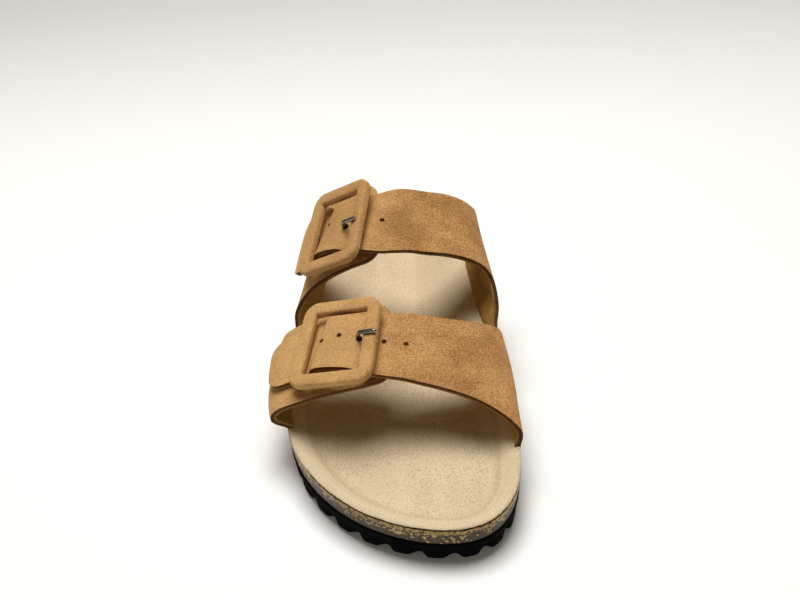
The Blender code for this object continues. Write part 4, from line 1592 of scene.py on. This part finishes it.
@dataclass
class Insole:
    """The suede lining that follows the footbed and is trimmed at its edge."""

    sole: SoleShape
    thickness: float = 1.5
    lip: float = 0.9
    band: Pair = (4.4, 8.8)
    band_height: float = 3.3
    band_fade: Pair = (70.0, 125.0)
    rim_highlight_start: Pair = (0.8, 2.5)
    rim_highlight_end: float = 2.0
    shade_line: Pair = (1.0, 4.0)
    toe_bars: Rows = ((73.6, 0.0135, 1.3, 0.55), (79.5, 0.0135, 1.5, 0.45))
    bar_middle: float = 9.0
    bar_fade: Pair = (7.0, 16.0)
    bar_highlight_height: float = 0.5
    around: int = 420
    rings: int = 96
    crowding: float = 1.5

    def build(self, finish: Finish) -> None:
        """Makes and dresses the insole.

        Args:
            finish: Its finish.
        """
        angles = self.sole.angles(self.around)
        shares = np.linspace(0.0, 1.0, self.rings + 1) ** self.crowding

        def layer(column: Array, row: Array) -> Array:
            """Points of the laid sheet.

            Args:
                column: Column numbers of the blank's points.
                row: Their row numbers.

            Returns:
                Points of the tables' frame.
            """
            plan = self.sole.towards_spine(angles[column], shares[row])
            inside = self.sole.from_edge(plan)
            outside = np.clip(self.lip - inside, 0.0, None)
            roll = self.lip - np.sqrt(np.maximum(0.0, self.lip**2 - outside**2))
            height = self.sole.top(plan)
            floor = self.sole.floor.at(plan[:, 1] / SOLE_LENGTH)
            banded = floor + self.band_height * (1.0 - smooth_step(inside, *self.band))
            share = 1.0 - smooth_step(plan[:, 1], *self.band_fade)
            height = height + np.maximum(0.0, banded - height) * share + self._toe_bar(plan, inside)
            return np.column_stack([plan, height - roll])

        piece = Bench.sheet("insole_lining", self.around, self.rings, layer)
        Bench.weld(piece, 0.02, outwards=False)
        Bench.face(piece, Vector((0.0, 0.0, -1.0)))
        Bench.modify(piece, "SOLIDIFY", thickness=(self.thickness - self.lip) * MM, offset=-1.0)
        self._mark_rim(piece)
        piece.data.materials.append(finish)
        Bench.finish(piece, "insole", "insole_lining")

    def _toe_bar(self, plan: Array, inside: Array) -> Array:
        """Heights of the soft ridges that the toes grip, fading towards the edge.

        Args:
            plan: Plan points.
            inside: Their distances from the edge.

        Returns:
            The heights.
        """
        across = plan[:, 0] - self.bar_middle
        ridges = [
            high * bump(plan[:, 1] - station - bow * across**2, width)
            for station, bow, width, high in self.toe_bars
        ]
        return sum(ridges) * smooth_step(inside, *self.bar_fade)

    def _mark_rim(self, piece: Piece) -> None:
        """Stores where light is painted on the toe rim and the ridges, and where shade is painted at the
        rim's foot.

        Args:
            piece: The insole.
        """
        plan = Bench.points(piece)[:, :2]
        inside = self.sole.from_edge(plan)
        toe = 1.0 - smooth_step(plan[:, 1], *self.band_fade)
        foot = self.band[1]
        before, after = self.shade_line
        # Painted light on the raised toe rim.
        lit_rim = smooth_step(inside, *self.rim_highlight_start)
        lit_rim = lit_rim - smooth_step(inside, foot - self.rim_highlight_end, foot)
        # Painted shade along the foot of the rim.
        worn = smooth_step(inside, foot - before, foot) - smooth_step(inside, foot, foot + after)
        Bench.mark(piece, "rim_light", lit_rim * toe)
        Bench.mark(piece, "rim_shade", worn * toe)
        # Painted highlight along the toe ridges, full where they stand this high.
        Bench.mark(piece, "bar_light", np.clip(self._toe_bar(plan, inside) / self.bar_highlight_height, 0.0, 1.0))


@dataclass
class CorkBody:
    """The moulded cork under the insole, with its sheer upper edge."""

    sole: SoleShape
    insole_thickness: float = 1.5
    gap: float = 0.12
    foot_inset: float = 1.0
    upright: float = 0.25
    around: int = 480
    wall_rows: int = 14
    top_rows: int = 12

    def build(self, finish: Finish) -> None:
        """Makes and dresses the cork.

        Args:
            finish: Its finish.
        """
        sole = self.sole
        angles = sole.angles(self.around)
        edge = sole.edge(angles)
        share = np.clip(edge[:, 1] / SOLE_LENGTH, 0.0, 1.0)
        cover = self.insole_thickness + self.gap
        rim = sole.top(edge) - cover
        foot = sole.upper.at(share) + self.gap
        last_row = self.top_rows + self.wall_rows + 1

        def layer(column: Array, row: Array) -> Array:
            """Points of the body: the top from its middle to the rim, the wall, then the foot's middle.

            Args:
                column: Column numbers of the blank's points.
                row: Their row numbers.

            Returns:
                Points of the tables' frame.
            """
            on_top = row < self.top_rows
            down = np.clip((row - self.top_rows) / self.wall_rows, 0.0, 1.0)
            wall = sole.inset(angles[column], self.foot_inset * smooth_step(down, self.upright, 1.0))
            inward = np.where(row == last_row, 1.0, np.clip(1.0 - row / self.top_rows, 0.0, 1.0))
            plan = np.where((inward > 0.0)[:, None], sole.towards_spine(angles[column], inward), wall)
            height = rim[column] + (foot[column] - rim[column]) * down
            height[on_top] = sole.top(plan[on_top]) - cover
            return np.column_stack([plan, height])

        piece = Bench.sheet("cork_body", self.around, last_row, layer)
        Bench.weld(piece, 0.02)
        piece.data.materials.append(finish)
        self._mark_depth(piece)
        Bench.finish(piece, "cork_footbed", "cork", 30.0)

    def _mark_depth(self, piece: Piece) -> None:
        """Stores each point's depth below the rim, for the raw band of the finish.

        Args:
            piece: The cork.
        """
        x, station, height = Bench.points(piece).T
        lateral, medial = (self.sole.rim(np.clip(station, 0.0, SOLE_LENGTH), side) for side in Side)
        rim = np.where(x > 0.0, medial, lateral)
        Bench.mark(piece, "rim_depth", rim - self.insole_thickness - self.gap - height)


@dataclass
class Outsole:
    """The foam outsole, whose edge is scalloped into rounded lugs."""

    sole: SoleShape
    lugs: int = 40
    steps_per_lug: int = 14
    groove: float = 1.7
    groove_reach: float = 12.0
    groove_end: float = 1.5
    top_inset: float = 0.6
    foot_inset: float = 2.2
    lug_wave: Rows = ((0.0, 0.0), (0.38, 0.12), (0.7, 1.0), (0.76, 1.0), (1.0, 0.0))

    def build(self, finish: Finish) -> None:
        """Makes and dresses the outsole.

        Args:
            finish: Its finish.
        """
        sole = self.sole
        count = self.lugs * self.steps_per_lug
        angles = sole.angles(count)
        table = np.array(self.lug_wave)
        share_of_lug = np.arange(count + 1) % self.steps_per_lug / self.steps_per_lug
        wave = smooth_step(np.interp(share_of_lug, table[:, 0], table[:, 1]), 0.0, 1.0)
        foot, deep = self.foot_inset, self.foot_inset + self.groove_reach
        # Rings: inset, its share of the wave, height, share of the groove, 1 if the height is from the top
        rings = np.array([
            (foot + 18.0, 0.0, 0.0, 0.0, 1.0),
            (self.top_inset + 0.7, 0.0, 0.0, 0.0, 1.0),
            (self.top_inset + 0.1, 0.0, -0.5, 0.0, 1.0),
            (self.top_inset, 0.0, -1.2, 0.0, 1.0),
            (self.top_inset + 0.3, 0.0, 8.4, 0.0, 0.0),
            (self.top_inset + 0.6, 0.5, 6.2, 0.1, 0.0),
            (foot - 0.7, 1.2, 3.4, 0.45, 0.0),
            (foot - 0.3, 1.4, 1.3, 0.9, 0.0),
            (foot + 0.2, 1.3, 0.4, 1.0, 0.0),
            (foot + 1.0, 1.0, 0.0, 1.0, 0.0),
            (deep, 0.0, 0.0, 1.0, 0.0),
            (deep + self.groove_end, 0.0, 0.0, 0.0, 0.0),
            (deep + self.groove_end, 0.0, 0.0, 0.0, 0.0),
        ])

        def layer(column: Array, row: Array) -> Array:
            """Points of the outsole's rings.

            Args:
                column: Column numbers of the blank's points.
                row: Their row numbers.

            Returns:
                Points of the tables' frame.
            """
            inset, swing, height, groove, from_top = rings[row].T
            plan = sole.inset(angles[column], inset + swing * wave[column])
            capped = (row == 0) | (row == len(rings) - 1)
            plan = np.where(capped[:, None], sole.towards_spine(angles[column], np.ones(len(row))), plan)
            share = np.clip(plan[:, 1] / SOLE_LENGTH, 0.0, 1.0)
            base = np.where(from_top > 0.5, sole.upper.at(share), sole.under.at(share))
            return np.column_stack([plan, base + height + self.groove * groove * wave[column]])

        piece = Bench.sheet("outsole_foam", count, len(rings) - 1, layer)
        Bench.weld(piece, 0.02)
        piece.data.materials.append(finish)
        Bench.finish(piece, "outsole", "foam", 50.0)


@dataclass
class Studio:
    """Pale floor, soft light and a camera at the photograph's angle."""

    image_width: float = 800.0
    focal_pixels: float = 1276.5
    elevation: float = 31.81
    azimuth: float = 1.06
    roll: float = -3.63
    distance: float = 627.5
    aim: Point = (-1.99, 26.5, 30.0)
    sensor: float = 36.0
    floor_size: float = 8.0
    floor_tones: tuple[Colour, Colour] = ((0.955, 0.95, 0.94), (0.97, 0.965, 0.955))
    far_floor_shade: Colour = (0.77, 0.76, 0.735)
    floor_shade_fade: Pair = (0.24, 0.66)
    floor_glow: Colour = (1.0, 0.98, 0.94)
    light_place: Point = (-0.05, 0.07, 1.25)
    light_aim: Point = (0.0, 0.0, 0.04)
    light_size: float = 0.74
    light_power: float = 16.3
    room_colour: Colour = (1.0, 0.88, 0.6)
    room_strength: float = 0.14

    def build(self) -> None:
        """Sets up camera, floor and light."""
        self._camera()
        self._floor()
        self._light()
        world = bpy.data.worlds.new("studio")
        world.use_nodes = True
        background = world.node_tree.nodes["Background"]
        background.inputs["Color"].default_value = (*self.room_colour, 1.0)
        background.inputs["Strength"].default_value = self.room_strength
        bpy.context.scene.world = world
        bpy.context.scene.view_settings.view_transform = "Standard"

    def _camera(self) -> None:
        """A camera fitted to the photograph's view of the sandal."""
        elevation, azimuth, roll = (math.radians(a) for a in (self.elevation, self.azimuth, self.roll))
        level = math.cos(elevation)
        back = Vector((math.sin(azimuth) * level, -math.cos(azimuth) * level, math.sin(elevation)))
        right = (-back).cross(Vector((0.0, 0.0, 1.0))).normalized()
        up = right.cross(-back)
        rolled_right = right * math.cos(roll) + up * math.sin(roll)
        rolled_up = up * math.cos(roll) - right * math.sin(roll)
        aim = Vector(self.aim) + Vector((SIDE_SHIFT, 0.0, 0.0))
        camera = bpy.data.cameras.new("camera")
        camera.sensor_width = self.sensor
        camera.lens = self.focal_pixels * self.sensor / self.image_width
        camera.clip_start = 0.01
        holder = bpy.data.objects.new("camera", camera)
        bpy.context.scene.collection.objects.link(holder)
        turn = Matrix((rolled_right, rolled_up, back)).transposed()
        holder.matrix_world = Matrix.Translation((aim + back * self.distance) * MM) @ turn.to_4x4()
        bpy.context.scene.camera = holder

    def _floor(self) -> None:
        """A pale seamless floor, painted darker far behind the sandal where the light falls off."""
        bpy.ops.object.select_all(action="DESELECT")
        bpy.ops.mesh.primitive_plane_add(size=self.floor_size)
        floor = bpy.context.active_object
        floor.name = "floor"
        graph = Graph("pale_floor")
        cloud = graph.noise(2.0, 2.0)
        colour = graph.ramp(cloud, tuple(zip((0.3, 0.7), self.floor_tones)))
        # Painted shade: the floor darkens far behind the sandal.
        far = graph.step(graph.axis(Axis.ALONG), *self.floor_shade_fade)
        colour = graph.blend(far, colour, self.far_floor_shade)
        # Painted light: the floor glows faintly, lifting its shadows.
        graph.constants(Roughness=0.9, Specular_IOR_Level=0.1, Emission_Strength=0.05)
        graph.constants(Emission_Color=(*self.floor_glow, 1.0))
        floor.data.materials.append(graph.close(colour, graph.relief(cloud, 0.01)))

    def _light(self) -> None:
        """A soft square light that looks at the sandal."""
        light = bpy.data.lights.new("key", "AREA")
        light.size = self.light_size
        light.energy = self.light_power
        holder = bpy.data.objects.new("key", light)
        bpy.context.scene.collection.objects.link(holder)
        holder.location = self.light_place
        sight = Vector(self.light_aim) - Vector(self.light_place)
        holder.rotation_euler = sight.to_track_quat("-Z", "Y").to_euler()


@dataclass
class Sandal:
    """The whole sandal, piece by piece."""

    sole: SoleShape = field(default_factory=SoleShape)
    front_strap: Rows = (
        (-0.05, 45.5, 102.0),
        (0.0, 45.5, 102.0),
        (0.06, 46.6, 102.0),
        (0.1, 49.0, 101.0),
        (0.16, 52.8, 97.5),
        (0.24, 56.7, 95.0),
        (0.31, 59.4, 94.7),
        (0.43, 62.6, 94.4),
        (0.53, 64.9, 93.5),
        (0.55, 65.7, 92.8),
        (0.576, 66.5, 93.4),
        (0.614, 67.7, 94.6),
        (0.652, 68.9, 95.9),
        (0.69, 70.2, 97.3),
        (0.72, 71.3, 98.2),
        (0.84, 72.8, 97.6),
        (0.95, 76.5, 98.8),
    )
    rear_strap: Rows = (
        (-0.05, 118.5, 178.0),
        (0.0, 118.5, 178.0),
        (0.06, 119.5, 178.0),
        (0.1, 122.5, 177.5),
        (0.16, 128.5, 177.0),
        (0.2, 129.0, 174.0),
        (0.24, 128.6, 168.7),
        (0.31, 128.0, 163.6),
        (0.43, 127.2, 157.8),
        (0.53, 124.8, 153.7),
        (0.575, 125.5, 151.6),
        (0.599, 126.5, 152.9),
        (0.634, 128.1, 155.8),
        (0.669, 129.7, 160.7),
        (0.703, 131.7, 168.4),
        (0.731, 133.8, 170.6),
        (0.83, 140.0, 172.0),
        (0.95, 145.0, 174.0),
    )
    front_tab: Rows = (
        (0.46, 65.5, 104.5),
        (0.52, 65.2, 103.8),
        (0.6, 64.0, 103.0),
        (0.8, 63.3, 106.0),
        (0.9, 65.0, 109.5),
        (1.0, 67.5, 113.0),
        (1.05, 67.5, 113.0),
    )
    rear_tab: Rows = (
        (0.48, 126.5, 168.0),
        (0.6, 126.0, 169.0),
        (0.66, 126.3, 174.5),
        (0.72, 126.8, 176.0),
        (0.8, 127.5, 176.5),
        (0.9, 126.0, 178.0),
        (1.0, 124.5, 180.0),
        (1.05, 124.5, 180.0),
    )
    front_buckle: Buckle = Buckle(
        label="front",
        share=0.627,
        station=81.86,
        line=(80.97, 83.79),
        tab_end=0.478,
        tail_end=0.88,
        turn=9.0,
        tip=8.5,
        slant=0.33,
        lifts=(
            (-60.0, 0.0),
            (-18.0, 0.0),
            (-13.0, 0.0),
            (-9.2, 4.6),
            (-5.3, 6.0),
            (-1.3, 6.3),
            (2.7, 6.3),
            (7.0, 5.7),
            (9.2, 4.5),
            (11.2, 2.3),
            (17.5, 2.3),
            (28.0, 1.0),
            (40.0, 0.0),
            (90.0, 0.0),
        ),
        prong=(9.9, 19.8, 1.8),
        holes=((-8.0, 1.1), (-0.3, 2.9), (17.5, 1.5), (26.5, 0.9)),
    )
    rear_buckle: Buckle = Buckle(
        label="rear",
        share=0.632,
        station=142.23,
        line=(142.85, 147.24),
        tab_end=0.54,
        tail_end=0.853,
        turn=17.0,
        tip=15.0,
        slant=0.58,
        lifts=(
            (-60.0, 3.6),
            (-30.0, 2.6),
            (-20.0, 1.1),
            (-13.0, 0.0),
            (-9.6, 4.6),
            (-6.8, 6.4),
            (-3.4, 7.3),
            (0.6, 7.7),
            (4.5, 7.6),
            (8.6, 5.4),
            (15.0, 6.2),
            (27.0, 3.0),
            (45.0, 0.0),
            (90.0, 0.0),
        ),
        prong=(7.0, 17.4, -1.6),
        holes=((-4.8, 0.6), (9.0, 0.4), (15.1, -1.1)),
    )
    strap_end_radius: float = 5.0
    tab_end_radius: float = 8.0
    medial_base: Pair = (0.085, 0.045)
    lateral_base: Pair = (0.905, 0.955)
    tab_rows: int = 56
    suede: Suede = Suede(
        name="tan_suede",
        dark=(0.29, 0.135, 0.042),
        middle=(0.49, 0.25, 0.088),
        light=(0.66, 0.365, 0.15),
        lit_and_rubbed=(0.66, 0.415, 0.175),
        shade_and_dark_patches=(
            # Painted shade on the rear strap beside the rear frame's medial bar.
            ((7.7, 7.2, 78.6), 17.0, 0.5),
            # Painted shade on the medial side of the front strap, this patch and the next.
            ((42.1, -48.6, 48.8), 22.0, 0.2),
            ((25.2, -65.5, 48.0), 18.0, 0.3),
            # A darker patch on the rear panel.
            ((-23.0, 10.0, 82.0), 36.0, 0.36),
        ),
    )
    lining: Suede = Suede(
        name="strap_lining",
        dark=(0.22, 0.115, 0.02),
        middle=(0.37, 0.20, 0.04),
        light=(0.48, 0.28, 0.075),
        lit_and_rubbed=(0.42, 0.26, 0.08),
    )
    face_edge: RawEdge = RawEdge("cut_edge", dark=(0.05, 0.02, 0.005), light=(0.15, 0.065, 0.017))
    lining_edge: RawEdge = RawEdge("lining_edge", dark=(0.17, 0.08, 0.022), light=(0.36, 0.18, 0.06))

    def build(self) -> None:
        """Makes and dresses every piece."""
        last = Last(self.sole)
        suede, lining, steel = self.suede.make(), self.lining.make(), Gunmetal().make()
        edges = self.face_edge.make(), self.lining_edge.make()
        straps, tabs, buckles = [], [], []
        fastenings = (
            (self.front_buckle, self.front_strap, self.front_tab),
            (self.rear_buckle, self.rear_strap, self.rear_tab),
        )
        for buckle, strap_rows, tab_rows in fastenings:
            strap = StrapShape(strap_rows, buckle.tail_end, self.strap_end_radius, last, buckle)
            tab = StrapShape(tab_rows, buckle.tab_end, self.tab_end_radius, last)
            straps.append(strap)
            tabs.append(tab)
            buckles.append(BuckleParts(BucklePlace(strap, tab, buckle, last)))
        medial = Quarter("medial", "medial_straps", Side.MEDIAL, tuple(straps), *self.medial_base, last)
        lateral = Quarter("lateral", "lateral_tabs", Side.LATERAL, tuple(tabs), *self.lateral_base, last)
        lateral.strap_rows = self.tab_rows
        punches = [punch for parts in buckles for punch in parts.punches()]
        medial.build(suede, lining, edges, punches)
        lateral.build(suede, lining, edges, ())
        for punch in punches:
            bpy.data.objects.remove(punch)
        for parts in buckles:
            parts.build_frame(suede)
            parts.build_pin(steel)
        Insole(self.sole).build(FootbedLining().make())
        CorkBody(self.sole).build(Cork().make())
        Outsole(self.sole).build(Foam().make())


def main() -> None:
    """Builds the sandal and its studio."""
    logging.basicConfig(level=logging.INFO, format="%(name)s: %(message)s")
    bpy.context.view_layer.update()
    Sandal().build()
    Studio().build()


if __name__ == "__main__":
    main()
